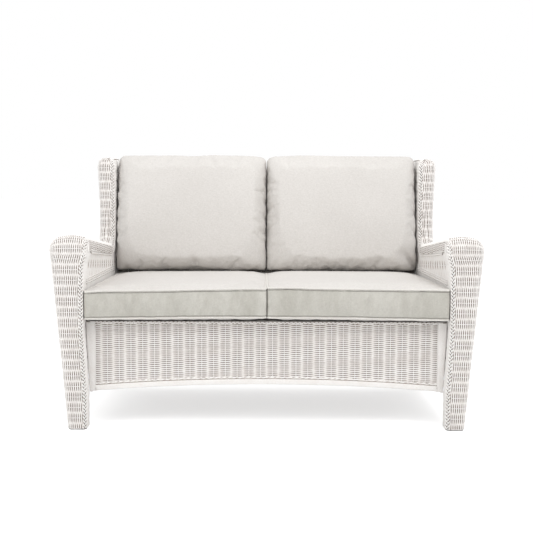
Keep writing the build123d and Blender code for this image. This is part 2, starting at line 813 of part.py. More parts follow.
# Square tube bent along the arched edge of the apron
with BuildPart() as apron_bottom_rail:
    for reach, mode in ((slim, Mode.ADD), (slim_bore, Mode.SUBTRACT)):
        low, high = apron_rail_z - reach, apron_rail_z + reach
        with BuildSketch(upright(apron_rail_y - reach)):
            with BuildLine():
                ThreePointArc((-upright_side, low), (0, low + apron_rise), (upright_side, low))
                Line((upright_side, low), (upright_side, high))
                ThreePointArc((upright_side, high), (0, high + apron_rise), (-upright_side, high))
                Line((-upright_side, high), (-upright_side, low))
            make_face()
        extrude(amount=-2 * reach, mode=mode)
    for x in (-upright_side, upright_side):
        add(
            rod((x, apron_rail_y, apron_low), (x, apron_rail_y, rail_z), slim + seat_gap),
            mode=Mode.SUBTRACT,
        )
export_single(apron_bottom_rail.part, "apron_bottom_rail")

with BuildPart() as apron_uprights:
    for index in range(upright_count):
        x = index * upright_step - upright_side
        at_end = index in (0, upright_count - 1)
        foot = apron_low if at_end else arch_z(x, upright_side, apron_rail_z, apron_rise) + slim + seat_gap
        add(rod((x, apron_rail_y, foot), (x, apron_rail_y, rail_z), slim, slim_bore))
    add(rod(
        (-leg_inner, seat_front, rail_z), (leg_inner, seat_front, rail_z), rail + seat_gap
    ), mode=Mode.SUBTRACT)
export_single(apron_uprights.part, "apron_uprights")

# Back frame
middle = back_thickness / 2
lower_rise = -lower_rail_drop
with BuildPart() as back_lower_rail:
    end = stile_line - rail - seat_gap
    add(rod(in_back_point(-end, lower_rise, middle), in_back_point(end, lower_rise, middle), rail, bore))
export_single(back_lower_rail.part, "back_lower_rail")

with BuildPart() as back_top_rail:
    add(rod(
        in_back_point(-back_half, roll_reach, middle), in_back_point(back_half, roll_reach, middle),
        rail, bore,
    ))
export_single(back_top_rail.part, "back_top_rail")

stile_top = roll_reach - rail - seat_gap
with BuildPart() as back_stile:
    add(rod(
        in_back_point(stile_line, -back_drop, middle), in_back_point(stile_line, stile_top, middle),
        rail, bore,
    ))
    for rise in back_bolt_rises:
        add(back_bolt_room(rise), mode=Mode.SUBTRACT)
export_pair(back_stile.part, "back_stile")

strut_step = 2 * stile_line / (strut_count + 1)
with BuildPart() as back_struts:
    for index in range(strut_count):
        x = (index + 1) * strut_step - stile_line
        foot = in_back_point(x, lower_rise + rail + seat_gap, middle)
        add(rod(foot, in_back_point(x, stile_top, middle), slim, slim_bore))
export_single(back_struts.part, "back_struts")

# Woven forms of the back
with BuildPart() as back_front_weave:
    with BuildSketch(in_back(0)):
        with Locations((0, (roll_reach - seat_gap - back_drop) / 2)):
            Rectangle(2 * back_half, roll_reach - seat_gap + back_drop)
    extrude(amount=-weave)
export_single(back_front_weave.part, "back_front_weave")

rear_skin_top = roll_reach - rail
with BuildPart() as back_rear_weave:
    with BuildSketch(in_back(back_thickness - weave)):
        with Locations((0, (rear_skin_top - back_drop) / 2)):
            Rectangle(2 * back_half, rear_skin_top + back_drop)
    extrude(amount=-weave)
export_single(back_rear_weave.part, "back_rear_weave")

roll_plane = Plane(
    origin=(-back_half, roll_y, roll_z), x_dir=(0, cos(tilt), -sin(tilt)), z_dir=(1, 0, 0)
)
half_curl = (180 + roll_lip_angle) / 2
roll_bore = back_roll_radius - weave
with BuildPart() as back_top_weave:
    with BuildSketch(roll_plane):
        with BuildLine():
            lip = CenterArc((0, 0), back_roll_radius, -roll_lip_angle, half_curl)
            brow = CenterArc((0, 0), back_roll_radius, half_curl - roll_lip_angle, half_curl)
            Line(brow @ 1, (-roll_bore, 0))
            CenterArc((0, 0), roll_bore, 180, -half_curl)
            lip_bore = CenterArc((0, 0), roll_bore, 180 - half_curl, -half_curl)
            Line(lip_bore @ 1, lip @ 0)
        make_face()
    extrude(amount=2 * back_half)
export_single(back_top_weave.part, "back_top_weave")

roll_rail_reach = roll_bore - tie_gap - rail
roll_rail_turn = radians(roll_rail_angle) - tilt
roll_rail_y = roll_y + roll_rail_reach * cos(roll_rail_turn)
roll_rail_z = roll_z + roll_rail_reach * sin(roll_rail_turn)
back_roll_rail = rod(
    (-back_half, roll_rail_y, roll_rail_z), (back_half, roll_rail_y, roll_rail_z), rail, bore
)
export_single(back_roll_rail, "back_roll_rail")

# Rear skirt, parallel to the rear legs and behind their rails
skirt_turn = rear_leg_splay / (seat_line - glide_height)
skirt_cos = 1 / (1 + skirt_turn * skirt_turn) ** 0.5
skirt_offset = rail + tie_gap
skirt_plane = Plane(
    origin=(0, post_seat_y + skirt_offset * skirt_cos, seat_line + skirt_offset * skirt_cos * skirt_turn),
    x_dir=(1, 0, 0),
    z_dir=(0, -skirt_cos, -skirt_cos * skirt_turn),
)
skirt_top = -back_drop * cos(tilt) - back_thickness * sin(tilt) - weave / 2
skirt_low = (apron_low - seat_line) / skirt_cos
with BuildPart() as rear_skirt_weave:
    with BuildSketch(skirt_plane):
        with Locations((0, (skirt_top + skirt_low) / 2)):
            Rectangle(2 * back_half, skirt_top - skirt_low)
    extrude(amount=-weave)
    rear_edge = arched_slice(upright(pillar_front), pillar_inner, apron_low, skirt_rise, -overrun)
    extrude(rear_edge, amount=-depth / 2, mode=Mode.SUBTRACT)
export_single(rear_skirt_weave.part, "rear_skirt_weave")

# Fasteners
with BuildPart() as seat_bolts:
    for y in bolt_rows:
        start = (seat_bolt_head, y, rail_z)
        add(rod(start, (seat_bolt_head + bolt_head_height, y, rail_z), bolt_head / 2))
        add(rod((seat_bolt_end, y, rail_z), start, bolt / 2))
    mirror(about=Plane.YZ)
export_single(seat_bolts.part, "seat_bolts")

with BuildPart() as seat_nuts:
    for y in bolt_rows:
        add(rod(
            (seat_bolt_end, y, rail_z), (seat_bolt_end + nut_height, y, rail_z), bolt_head / 2, bolt_hole
        ))
    mirror(about=Plane.YZ)
export_single(seat_nuts.part, "seat_nuts")

with BuildPart() as seat_spacers:
    for y in bolt_rows:
        add(rod(
            (seat_side_line + rail + seat_gap, y, rail_z), (post_line - rail - seat_gap, y, rail_z),
            spacer / 2, bolt_hole,
        ))
    mirror(about=Plane.YZ)
export_single(seat_spacers.part, "seat_spacers")

with BuildPart() as back_bolts:
    for rise in back_bolt_rises:
        neck = in_back_point(back_bolt_head, rise, middle)
        add(rod(in_back_point(back_bolt_head - bolt_head_height, rise, middle), neck, bolt_head / 2))
        add(rod(neck, in_back_point(back_bolt_end, rise, middle), bolt / 2))
    mirror(about=Plane.YZ)
export_single(back_bolts.part, "back_bolts")


def seat_cushion(inset):
    """Boxed seat cushion with a crown, drawn in between its corners, drawn in all round by the inset."""
    low = deck_top + seat_gap + inset
    sections = []
    for share, crown, draw, trim in seat_cushion_station_shares:
        near = seat_cushion_front + inset + seat_cushion_draw * draw + seat_cushion_trim * trim
        far = seat_cushion_rear - inset - seat_cushion_trim * trim
        near_x = cushion_gap + inset + (seat_cushion_side - cushion_gap - 2 * inset) * share
        far_x = cushion_gap + inset + (seat_cushion_rear_side - cushion_gap - 2 * inset) * share
        edge = deck_top + seat_cushion_edge - inset - seat_cushion_trim * trim
        half = (edge + low) / 2
        run = Vector(far_x - near_x, far - near, 0)
        end = run.length
        plane = Plane(origin=(near_x, near, 0), x_dir=run, z_dir=(run.Y, -run.X, 0))
        with BuildSketch(plane) as face:
            with BuildLine():
                Line((end, low), (0, low))
                ThreePointArc((0, low), (-seat_cushion_bulge, half), (0, edge))
                ThreePointArc((0, edge), (end / 2, edge + crown * seat_cushion_crown), (end, edge))
                ThreePointArc((end, edge), (end + seat_cushion_bulge, half), (end, low))
            make_face()
        sections.append(face.sketch)
    with BuildPart() as form:
        loft(sections)
    return form.part


def back_cushion(inset):
    """Plump back cushion, thin at its ends, drawn in all round by the inset."""
    sections = []
    for share, full, trim in back_cushion_station_shares:
        x = cushion_gap + inset + (back_cushion_side - cushion_gap - 2 * inset) * share
        low = back_cushion_low + inset + back_cushion_lift * trim
        top = back_cushion_top - inset - back_cushion_round * trim
        rear_low = back_y(low) - back_cushion_gap - inset
        shoulder = top - back_cushion_shoulder
        rear_top = back_y(shoulder) - back_cushion_gap - inset
        near_low = rear_low - (back_y(back_cushion_low) - back_cushion_gap - back_cushion_front) * full
        near_low = near_low + 2 * inset
        near_top = rear_top - back_cushion_head * full + 2 * inset
        belly = (low + top) / 2
        belly_y = (near_low + near_top) / 2 - back_cushion_belly * full
        brow = (rear_top + near_top) / 2
        with BuildSketch(Plane(origin=(x, 0, 0), x_dir=(0, 1, 0), z_dir=(1, 0, 0))) as face:
            with BuildLine():
                Line((rear_low, low), (near_low, low + back_cushion_lip))
                ThreePointArc((near_low, low + back_cushion_lip), (belly_y, belly), (near_top, shoulder))
                ThreePointArc((near_top, shoulder), (brow, top), (rear_top, shoulder))
                Line((rear_top, shoulder), (rear_low, low))
            make_face()
        sections.append(face.sketch)
    with BuildPart() as form:
        loft(sections)
    return form.part


for name, form in (("seat_cushion", seat_cushion), ("back_cushion", back_cushion)):
    with BuildPart() as cushion_cover:
        add(form(0))
        add(form(cover), mode=Mode.SUBTRACT)
    export_pair(cushion_cover.part, f"{name}_cover")
    export_pair(form(cover + seat_gap), f"{name}_core")
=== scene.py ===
import math

import bpy
import numpy as np
from mathutils import Matrix, Vector
from mathutils.bvhtree import BVHTree


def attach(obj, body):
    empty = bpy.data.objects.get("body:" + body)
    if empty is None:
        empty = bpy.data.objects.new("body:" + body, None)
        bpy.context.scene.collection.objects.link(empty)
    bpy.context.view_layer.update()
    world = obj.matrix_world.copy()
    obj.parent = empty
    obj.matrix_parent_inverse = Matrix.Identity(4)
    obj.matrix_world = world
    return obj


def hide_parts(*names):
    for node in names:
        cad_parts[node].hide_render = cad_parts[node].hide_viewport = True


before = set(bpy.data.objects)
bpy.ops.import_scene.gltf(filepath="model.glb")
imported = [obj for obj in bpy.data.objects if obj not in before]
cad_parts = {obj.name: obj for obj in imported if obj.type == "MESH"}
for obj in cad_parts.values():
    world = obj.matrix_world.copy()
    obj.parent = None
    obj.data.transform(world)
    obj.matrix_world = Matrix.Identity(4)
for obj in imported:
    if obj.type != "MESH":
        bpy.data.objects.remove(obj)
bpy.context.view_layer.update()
rng = np.random.default_rng(7)

# Sizes in millimetres, as in the solid model. Pairs are an inner and an outer side
MM = 0.001
FRONT = -400.0
LEG_INNER = 567.0
KNEE_OUTER = 657.0
FOOT = (557.0, 618.0)
FOOT_DEEP = 60.0
TOE_TOP = 300.0
GLIDE = 4.0
CORNER = 14.0
PILLAR = (545.0, 604.0)
PILLAR_FRONT = 186.0
SEAT_LINE = 335.0
DECK = 333.0

# Arm: it falls round into the front leg, slopes to the rear and turns up into the wing
ARM_HEIGHT = 604.0
FALL = 50.0
FALL_Y = FRONT + FALL
FALL_Z = ARM_HEIGHT - FALL
THROAT_Z = FALL_Z * 0.92
KNEE_Z = FALL_Z * 0.78
SLOPE = math.radians(6.4)
ARM_TURN = math.radians(96.4)
TURN = 55.0
ARM_DROP = 40.0
ARM_REACH = TURN + ARM_DROP
ARM_CROWN = 4.0

# Back, with a roll along its top
BACK_FACE = 215.0
TILT = math.radians(11.0)
BACK_THICK = 32.0
BACK_RUN = BACK_THICK / math.cos(TILT)
BACK_HALF = 544.7
BACK_DROP = 25.0
ROLL_R = 49.75
ROLL_Z = 820.0 - ROLL_R
ROLL_Y = BACK_FACE + (ROLL_Z - SEAT_LINE) * math.tan(TILT) + ROLL_R / math.cos(TILT)
ROLL_REACH = (ROLL_Y - BACK_FACE) * math.sin(TILT) + (ROLL_Z - SEAT_LINE) * math.cos(TILT)
POST_SEAT_Y = BACK_FACE + BACK_RUN / 2
PILLAR_REAR = BACK_FACE + BACK_RUN
SPLAY = 31.0
FOOT_REAR = PILLAR_REAR + SPLAY
FOOT_FRONT = FOOT_REAR - FOOT_DEEP

# Wing: it leans back, narrows inside, spreads outside and ends in a dome
WING_FRONT = 166.0
WING_LEAN = 33.0
WING_NEAR = WING_FRONT + WING_LEAN
WING_REAR = ROLL_Y + ROLL_R
WING_TOP = 852.0
WING_IN = 4.0
WING_OUT = 14.0
DOME = 20.0

# Apron and skirts
APRON_FACE = -345.0
APRON_SIDE = 559.0
APRON_LOW = 110.0
APRON_RISE = 23.0
WRAP = 22.0
BAND = 20.0
SKIRT_RISE = 20.0
SKIRT_OUT = 16.0
PANEL_INSET = 6.0
PANEL_SHEAR = 0.078
PANEL_TUCK = 3.0
EDGE_TWINE = (4.0, 10.5)

FALL_END = (FALL_Y + FALL * math.sin(SLOPE), FALL_Z + FALL * math.cos(SLOPE))
TURN_Y = WING_FRONT - TURN
TURN_Z = FALL_END[1] - (TURN_Y - FALL_END[0]) * math.tan(SLOPE) + TURN / math.cos(SLOPE)
TURN_START = (TURN_Y - TURN * math.sin(SLOPE), TURN_Z - TURN * math.cos(SLOPE))

# Wicker: distance between strands, their radius, the depth of their middle below the surface,
# how far they swing round the stakes, and how square that wave is
PITCH = 3.3
STRAND = 1.8
MID = 3.1
SWING = 1.5
SQUARE = 0.6
STAKE = 1.5
# How far under the surface the stakes' painted shade is measured from, which paints them a little
# lighter
STAKE_SHADE_LIFT = 0.2
# Depth of the dark sheet behind the strands, which is painted shade seen through their gaps
SHADE_SHEET_DEPTH = 3.5
# Depth that the painted crevice shade is measured against, which the dark sheet behind the strands
# also gets
SHADE_DEEP = 9.0

# Distances between stakes, and the shares of one where a strand has points
LEG_STAKE = 33.0
PANEL_STAKE = 37.0
BAND_STAKE = 35.8
CURVED = (0, 0.18, 0.36, 0.64, 0.82)
FLAT = (0, 0.36, 0.64)

# The inner arm's open row, in stakes above the deck, and the twine below it
BAND_ROW = 5
BAND_TWINE = (449.0, 456.0, 463.0)

# Sleeves: how far their strands reach each way, past their seam too, and their braided border
SLEEVE_REACH = 290.0
SLEEVE_OVER = 1.7
BORDER = 1.0
BORDER_CLEAR = 7.5
BRAID_HALF = 6.6
BRAID_TURN = 34.0
BRAID_STRAND = 1.25
BRAID_SINK = 2.4

# Strand wound round a flat bar
BAR_HALF = 4.0
BAR_PITCH = 3.2
BAR_STRAND = 1.7
BAR_SQUARE = 0.45

SIDES = ("right", "left")
ACROSS = np.array([1.0, 0, 0])
AHEAD = np.array([0, -1.0, 0])


def back_y(z):
    """Front face of the tilted back at a height."""
    return BACK_FACE + (z - SEAT_LINE) * math.tan(TILT)


def unit(v):
    return v / np.maximum(np.linalg.norm(v, axis=-1, keepdims=True), 1e-9)


def smooth(x):
    x = min(1.0, max(0.0, x))
    return x * x * (3 - 2 * x)


def grid(u, v):
    return np.meshgrid(u, v, indexing="ij")


def run_of(path):
    """Distance of each point of a path from its first."""
    return np.concatenate([[0], np.cumsum(np.linalg.norm(np.diff(path, axis=0), axis=1))])


def resample(path, normal, step):
    """Even points along a path, with their normals and distances."""
    path = np.asarray(path, float)
    normal = np.broadcast_to(np.asarray(normal, float), path.shape)
    run = run_of(path)
    at = np.linspace(0, run[-1], max(2, int(round(run[-1] / step)) + 1))
    out = np.stack([np.interp(at, run, path[:, k]) for k in range(3)], -1)
    nor = unit(np.stack([np.interp(at, run, normal[:, k]) for k in range(3)], -1))
    return out, nor, at


def new_object(name, data):
    obj = bpy.data.objects.new(name, data)
    bpy.context.scene.collection.objects.link(obj)
    return obj


class Mesh:
    """Collects vertices, quads and the depth of each vertex below the surface, which sets the
    painted shade.
    """

    def __init__(self):
        self.verts, self.faces, self.deep, self.count = [], [], [], 0

    def add(self, verts, faces, deep):
        self.verts.append(verts)
        self.faces.append(faces + self.count)
        self.deep.append(deep)
        self.count += len(verts)

    def tubes(self, P, N, valid, radius, sides=5, surface=None):
        """Round strands along P's first axis, one for each place on its second."""
        T = unit(np.gradient(P, axis=0))
        B = unit(np.cross(N, T))
        up = np.cross(T, B)
        angle = np.arange(sides) * 2 * math.pi / sides
        radius = np.broadcast_to(radius, P.shape[:2])[:, :, None, None]
        ring = np.cos(angle)[:, None] * up[:, :, None] + np.sin(angle)[:, None] * B[:, :, None]
        V = P[:, :, None] + radius * ring
        base = P if surface is None else surface
        deep = ((base[:, :, None] - V) * N[:, :, None]).sum(-1)
        index = np.arange(V.shape[0] * V.shape[1] * sides).reshape(V.shape[:3])
        a, b = index[:-1], index[1:]
        quad = np.stack([a, b, np.roll(b, -1, 2), np.roll(a, -1, 2)], -1)
        quad = quad[valid[:-1] & valid[1:]].reshape(-1, 4)
        used, quad = np.unique(quad, return_inverse=True)
        self.add(V.reshape(-1, 3)[used], quad.reshape(-1, 4), deep.reshape(-1)[used])

    def strand(self, path, normal, radius, sides=5, surface=None):
        """One round strand along a path."""
        surface = path if surface is None else surface
        normal = np.broadcast_to(np.asarray(normal, float), path.shape)
        whole = np.ones((len(path), 1), bool)
        self.tubes(path[:, None], normal[:, None], whole, radius, sides, surface[:, None])

    def sheet(self, P, valid):
        """Dark sheet behind the strands: painted shade in the gaps between them."""
        n, m = valid.shape
        index = np.arange(n * m).reshape(n, m)
        quad = np.stack([index[:-1, :-1], index[1:, :-1], index[1:, 1:], index[:-1, 1:]], -1)
        ok = valid[:-1, :-1] & valid[1:, :-1] & valid[1:, 1:] & valid[:-1, 1:]
        used, quad = np.unique(quad[ok].reshape(-1, 4), return_inverse=True)
        self.add(P.reshape(-1, 3)[used], quad.reshape(-1, 4), np.full(len(used), SHADE_DEEP))

    def weave(self, P, N, valid, phase, sides=5, radius=STRAND, swing=SWING, skip=3, group=1):
        """Plain weave just under the surface P, with its strands along P's first axis.

        A stake lies across them at each whole phase, with a point at every skip-th strand. As many
        strands as group says swing together.
        """
        n, m = P.shape[:2]
        wave = np.cos(math.pi * (phase[:, None] + np.arange(m)[None, :] // group))
        wave = np.sign(wave) * np.abs(wave) ** SQUARE * swing
        wobble = rng.normal(0, 0.09, (n, m))
        centre = P - N * (MID - wave + wobble)[:, :, None]
        thick = radius * (1 + rng.normal(0, 0.03, (1, m)))
        self.tubes(centre, N, valid, thick, sides, P)
        cols = np.unique(np.append(np.arange(0, m, skip), m - 1))
        rows = np.nonzero(np.abs(phase - np.round(phase)) < 1e-6)[0]
        stake = (P - N * MID)[rows][:, cols].transpose(1, 0, 2)
        stake_n = N[rows][:, cols].transpose(1, 0, 2)
        # The stakes' painted shade is measured from a little under the surface, so it is lighter
        outer = P[rows][:, cols].transpose(1, 0, 2) - stake_n * STAKE_SHADE_LIFT
        self.tubes(stake, stake_n, valid[rows][:, cols].T, STAKE, 4, outer)
        # Dark sheet behind the strands, as painted shade in their gaps
        rows = np.unique(np.append(np.arange(0, n, 2), n - 1))
        self.sheet((P - N * SHADE_SHEET_DEPTH)[rows][:, cols], valid[rows][:, cols])

    def twine(self, path, normal, radius=1.9, turn=14.0, proud=0.0):
        """Two strands twisted round each other along a path."""
        path, normal, run = resample(path, normal, turn / 8)
        B = unit(np.cross(normal, unit(np.gradient(path, axis=0))))
        for ply in (0, math.pi):
            a = run * 2 * math.pi / turn + ply
            off = radius * 0.95 * (np.cos(a)[:, None] * normal + np.sin(a)[:, None] * B)
            self.strand(path + off + normal * (proud - 2 * radius), normal, radius, surface=path)

    def braid(self, path, normal):
        """Flat braid of three doubled strands along a path."""
        path, normal, run = resample(path, normal, BRAID_TURN / 12)
        B = unit(np.cross(normal, unit(np.gradient(path, axis=0))))
        for ply in range(3):
            a = run * 2 * math.pi / BRAID_TURN + ply * 2 * math.pi / 3
            for side in (-1, 1):
                lateral = BRAID_HALF * np.sin(a) + side * BRAID_STRAND * 0.95
                height = 1.3 * np.sin(2 * a) - BRAID_SINK
                P = path + lateral[:, None] * B + height[:, None] * normal
                self.strand(P, normal, BRAID_STRAND, surface=path)

    def rings(self, path, up, side, half_high):
        """Strand wound round a flat bar along a path. up and side are the bar's own directions."""
        a = np.arange(17) * 2 * math.pi / 16
        c, s = np.cos(a), np.sin(a)
        x = np.sign(c) * np.abs(c) ** BAR_SQUARE * (BAR_HALF - BAR_STRAND)
        high = np.broadcast_to(half_high, len(path))[None, :, None]
        y = (np.sign(s) * np.abs(s) ** BAR_SQUARE)[:, None, None] * (high - BAR_STRAND)
        P = path[None] + x[:, None, None] * side[None] + y * up[None]
        N = unit(x[:, None, None] / BAR_HALF * side[None] + y / high * up[None])
        slant = unit(np.gradient(path, axis=0))
        P = P + slant[None] * (a[:, None, None] / (2 * math.pi) - 0.5) * BAR_PITCH
        whole = np.ones(P.shape[:2], bool)
        # Depth measured from just outside the strand, so its sides and inner side get the painted
        # crevice shade
        self.tubes(P, N, whole, BAR_STRAND, 5, P + N * (BAR_STRAND + 0.6))

    def build(self, name, material, replaces=(), body="frame", slot="resin_wicker", side="right"):
        """Makes the object. What was collected on the right is mirrored for the left."""
        verts = np.concatenate(self.verts) * MM
        faces = np.concatenate(self.faces)
        if side == "left":
            verts = verts * np.array([-1, 1, 1])
            faces = faces[:, ::-1]
        mesh = bpy.data.meshes.new(name)
        mesh.vertices.add(len(verts))
        mesh.vertices.foreach_set("co", verts.astype(np.float32).ravel())
        mesh.loops.add(faces.size)
        mesh.loops.foreach_set("vertex_index", faces.astype(np.int32).ravel())
        mesh.polygons.add(len(faces))
        mesh.polygons.foreach_set("loop_start", np.arange(0, faces.size, 4, dtype=np.int32))
        mesh.update(calc_edges=True)
        mesh.polygons.foreach_set("use_smooth", np.ones(len(faces), bool))
        depth = mesh.attributes.new("deep", "FLOAT", "POINT")
        depth.data.foreach_set("value", np.concatenate(self.deep).astype(np.float32))
        mesh.materials.append(material)
        obj = new_object(name, mesh)
        if replaces:
            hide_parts(*replaces)
        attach(obj, body)

    def woven(self, name, side=""):
        """Makes the wicker of one of the solid model's sheets."""
        end = f"_{side}" if side else ""
        self.build(f"{name}_wicker{end}", wicker, [f"{name}_weave{end}"], side=side)


# Sections of the sleeves round legs, arms and wings
def outline(left, right, low, top, round_left, round_right, round_low, crown, shut):
    """Points, normals and distances round a section, over its outward side.

    A shut section starts at its seam, an open one at its inner low edge and without low rounds.
    Distances are from the inner round.
    """
    shoulder = top - crown
    points = []

    def arc(cx, cy, r, start, turn):
        a = np.radians(np.linspace(start, start + turn, 9))
        points.extend(zip(cx + r * np.cos(a), cy + r * np.sin(a)))

    def line(x0, y0, x1, y1):
        s = np.linspace(0, 1, 8)
        points.extend(zip(x0 + (x1 - x0) * s, y0 + (y1 - y0) * s))

    middle = (left + right) / 2
    if shut:
        line(middle, low, left + round_low, low)
        arc(left + round_low, low + round_low, round_low, 270, -90)
    line(left, low + round_low, left, shoulder - round_left)
    arc(left + round_left, shoulder - round_left, round_left, 180, -90)
    zero = len(points) - 5
    s = np.linspace(0, 1, 15)
    x0, x1 = left + round_left, right - round_right
    points.extend(zip(x0 + (x1 - x0) * s, shoulder + crown * 4 * s * (1 - s)))
    arc(right - round_right, shoulder - round_right, round_right, 90, -90)
    line(right, shoulder - round_right, right, low + round_low)
    if shut:
        arc(right - round_low, low + round_low, round_low, 0, -90)
        line(right - round_low, low, middle, low)
    points = np.array(points)
    keep = np.concatenate([[True], np.linalg.norm(np.diff(points, axis=0), axis=1) > 1e-6])
    zero = keep[: zero + 1].sum() - 1
    points = points[keep]
    run = run_of(points)
    tangent = np.gradient(points, axis=0)
    normal = unit(np.stack([-tangent[:, 1], tangent[:, 0]], -1))
    return points, normal, run - run[zero]


def sleeve(stations, offsets):
    """Surface points and normals at the given offsets along each station's section."""
    P, N, ok = [], [], []
    for origin, way, section in stations:
        points, normal, run = outline(*section)
        x, y = (np.interp(offsets, run, points[:, k]) for k in range(2))
        nx, ny = (np.interp(offsets, run, normal[:, k]) for k in range(2))
        P.append(np.stack([x, origin[0] + y * way[0], origin[1] + y * way[1]], -1))
        N.append(np.stack([nx, ny * way[0], ny * way[1]], -1))
        ok.append((offsets > run[0] - SLEEVE_OVER) & (offsets < run[-1] + SLEEVE_OVER))
    return np.array(P), unit(np.array(N)), np.array(ok)


def leg_row(z, left):
    share = (z - GLIDE) / (KNEE_Z - GLIDE)
    right = FOOT[1] + (KNEE_OUTER - FOOT[1]) * share
    return z, left, right - left, FOOT_DEEP + 20 * share, CORNER, CORNER


# Height, inner side, width, depth, and inner and outer round of the front leg
LEG_TABLE = np.array([
    leg_row(GLIDE, FOOT[0]),
    leg_row(APRON_LOW, FOOT[0]),
    leg_row(TOE_TOP, LEG_INNER),
    leg_row(KNEE_Z, LEG_INNER),
    (THROAT_Z, 563, 104, 90, 20, 27),
    (FALL_Z, 551, 124, 90, 26, 40),
])
# Sides, low edge, top and rounds of the arm's section at its front and at its turn
HEAD = (551, 675, 2, FALL, 26, 40)
TAIL = (*PILLAR, -ARM_REACH, -TURN, 22, 22)
WING_RISE = (0, 0.25, 0.5, 0.65, 0.88, 0.96, 1)
WING_FLARE = (0, 0.25, 0.75, 1, 1, 1, 1)
WING_DOME = (0, 0, 0, 0, 0.05, 0.35, 1)


def leg_station(z):
    heights, *columns = LEG_TABLE.T
    left, width, deep, *rounds = (np.interp(z, heights, column) for column in columns)
    crown = ARM_CROWN * smooth((z - FALL_Z + 80) / 80)
    return (0, z), (-1, 0), (left, left + width, -FRONT - deep, -FRONT, *rounds, 8, crown, True)


def arm_station(share, angle, origin):
    values = [a + (b - a) * share for a, b in zip(HEAD, TAIL)]
    return origin, (-math.cos(angle), math.sin(angle)), (*values, 0, ARM_CROWN, False)


def wing_station(z):
    rise = (z - TURN_Z) / (WING_TOP - TURN_Z)
    flare = np.interp(rise, WING_RISE, WING_FLARE)
    dome = DOME * np.interp(rise, WING_RISE, WING_DOME)
    rear = back_y(z) + BACK_RUN
    rear = rear + (WING_REAR - rear) * flare - dome
    near = WING_FRONT + WING_LEAN * rise + dome
    left = PILLAR[0] + WING_IN * rise + dome
    right = PILLAR[1] + WING_OUT * rise * rise - dome
    size = 24 - 10 * dome / DOME
    crown = ARM_CROWN * (1 - smooth((z - TURN_Z) / 60))
    return (0, z), (-1, 0), (left, right, -rear, -near, size, size, CORNER, crown, True)


# Lengths of the front leg, its round, the arm, its turn and the wing
ARM_PARTS = (
    FALL_Z - GLIDE, FALL * ARM_TURN, math.dist(FALL_END, TURN_START), TURN * ARM_TURN,
    WING_TOP - TURN_Z,
)


def arm_place(t):
    """Station at a distance from the front leg's foot, over the arm, and up the wing."""
    leg, fall, flat, turn, _ = ARM_PARTS
    if t < leg:
        return leg_station(GLIDE + t)
    t -= leg
    if t < fall:
        return arm_station(0, t / FALL, (FALL_Y, FALL_Z))
    t -= fall
    if t < flat:
        s = t / flat
        origin = (FALL_Y + (TURN_Y - FALL_Y) * s, FALL_Z + (TURN_Z - FALL_Z) * s)
        return arm_station(s, ARM_TURN, origin)
    t -= flat
    if t < turn:
        return arm_station(1, ARM_TURN - t / TURN, (TURN_Y, TURN_Z))
    return wing_station(TURN_Z + t - turn)


def marks(total, spacing, shares):
    """Places along a strand, and how many stakes each is from the first."""
    phase = (np.arange(total // spacing + 1)[:, None] + np.array(shares)).ravel()
    phase = phase[phase * spacing <= total]
    return phase * spacing, phase


def flat_marks(half):
    """Marks over a sheet's width, which is a whole number of stakes."""
    return marks(2 * half + 0.01, 2 * half / round(2 * half / PANEL_STAKE), FLAT)


# Materials
class Graph:
    """Shader nodes of a material or of the world."""

    def __init__(self, tree):
        self.nodes, self.link = tree.nodes, tree.links.new

    def put(self, value, socket):
        """Links an output to a socket, or sets the socket to a number or a colour."""
        if hasattr(value, "links"):
            self.link(value, socket)
        elif isinstance(value, (int, float)):
            socket.default_value = value
        else:
            socket.default_value = (*value, 1)

    def fill(self, node, **values):
        """Fills a node's inputs, whose names have a low line here where they have a space."""
        for name, value in values.items():
            self.put(value, node.inputs[name.replace("_", " ")])
        return node

    def node(self, kind, **values):
        return self.fill(self.nodes.new("ShaderNode" + kind), **values)

    def coords(self):
        return self.node("TexCoord").outputs["Object"]

    def noise(self, coords, scale, detail=3.0, stretch=None):
        if stretch:
            mapping = self.node("Mapping", Vector=coords)
            mapping.inputs["Scale"].default_value = stretch
            coords = mapping.outputs["Vector"]
        return self.node("TexNoise", Scale=scale, Detail=detail, Vector=coords).outputs["Fac"]

    def ramp(self, value, *stops):
        node = self.node("ValToRGB", Fac=value)
        elements = node.color_ramp.elements
        while len(elements) < len(stops):
            elements.new(0.5)
        for element, (place, colour) in zip(elements, stops):
            element.position = place
            element.color = (*colour, 1)
        return node.outputs["Color"]

    def multiply(self, factor, a, b):
        """Product of two colours, as far as the factor says."""
        node = self.node("Mix")
        node.data_type = "RGBA"
        node.blend_type = "MULTIPLY"
        for value, place in ((factor, 0), (a, 6), (b, 7)):
            self.put(value, node.inputs[place])
        return node.outputs[2]

    def math(self, kind, a, b):
        node = self.node("Math")
        node.operation = kind
        self.put(a, node.inputs[0])
        self.put(b, node.inputs[1])
        return node.outputs[0]

    def bump(self, height, strength, distance):
        node = self.node("Bump", Height=height, Strength=strength, Distance=distance)
        return node.outputs["Normal"]

    def seen(self, *kinds):
        """1 for a ray of one of the kinds, otherwise 0."""
        rays = self.node("LightPath").outputs
        value = rays[kinds[0]]
        for kind in kinds[1:]:
            value = self.math("MAXIMUM", value, rays[kind])
        return value


def new_material(name):
    material = bpy.data.materials.new(name)
    material.use_nodes = True
    graph = Graph(material.node_tree)
    return material, graph, graph.nodes["Principled BSDF"]


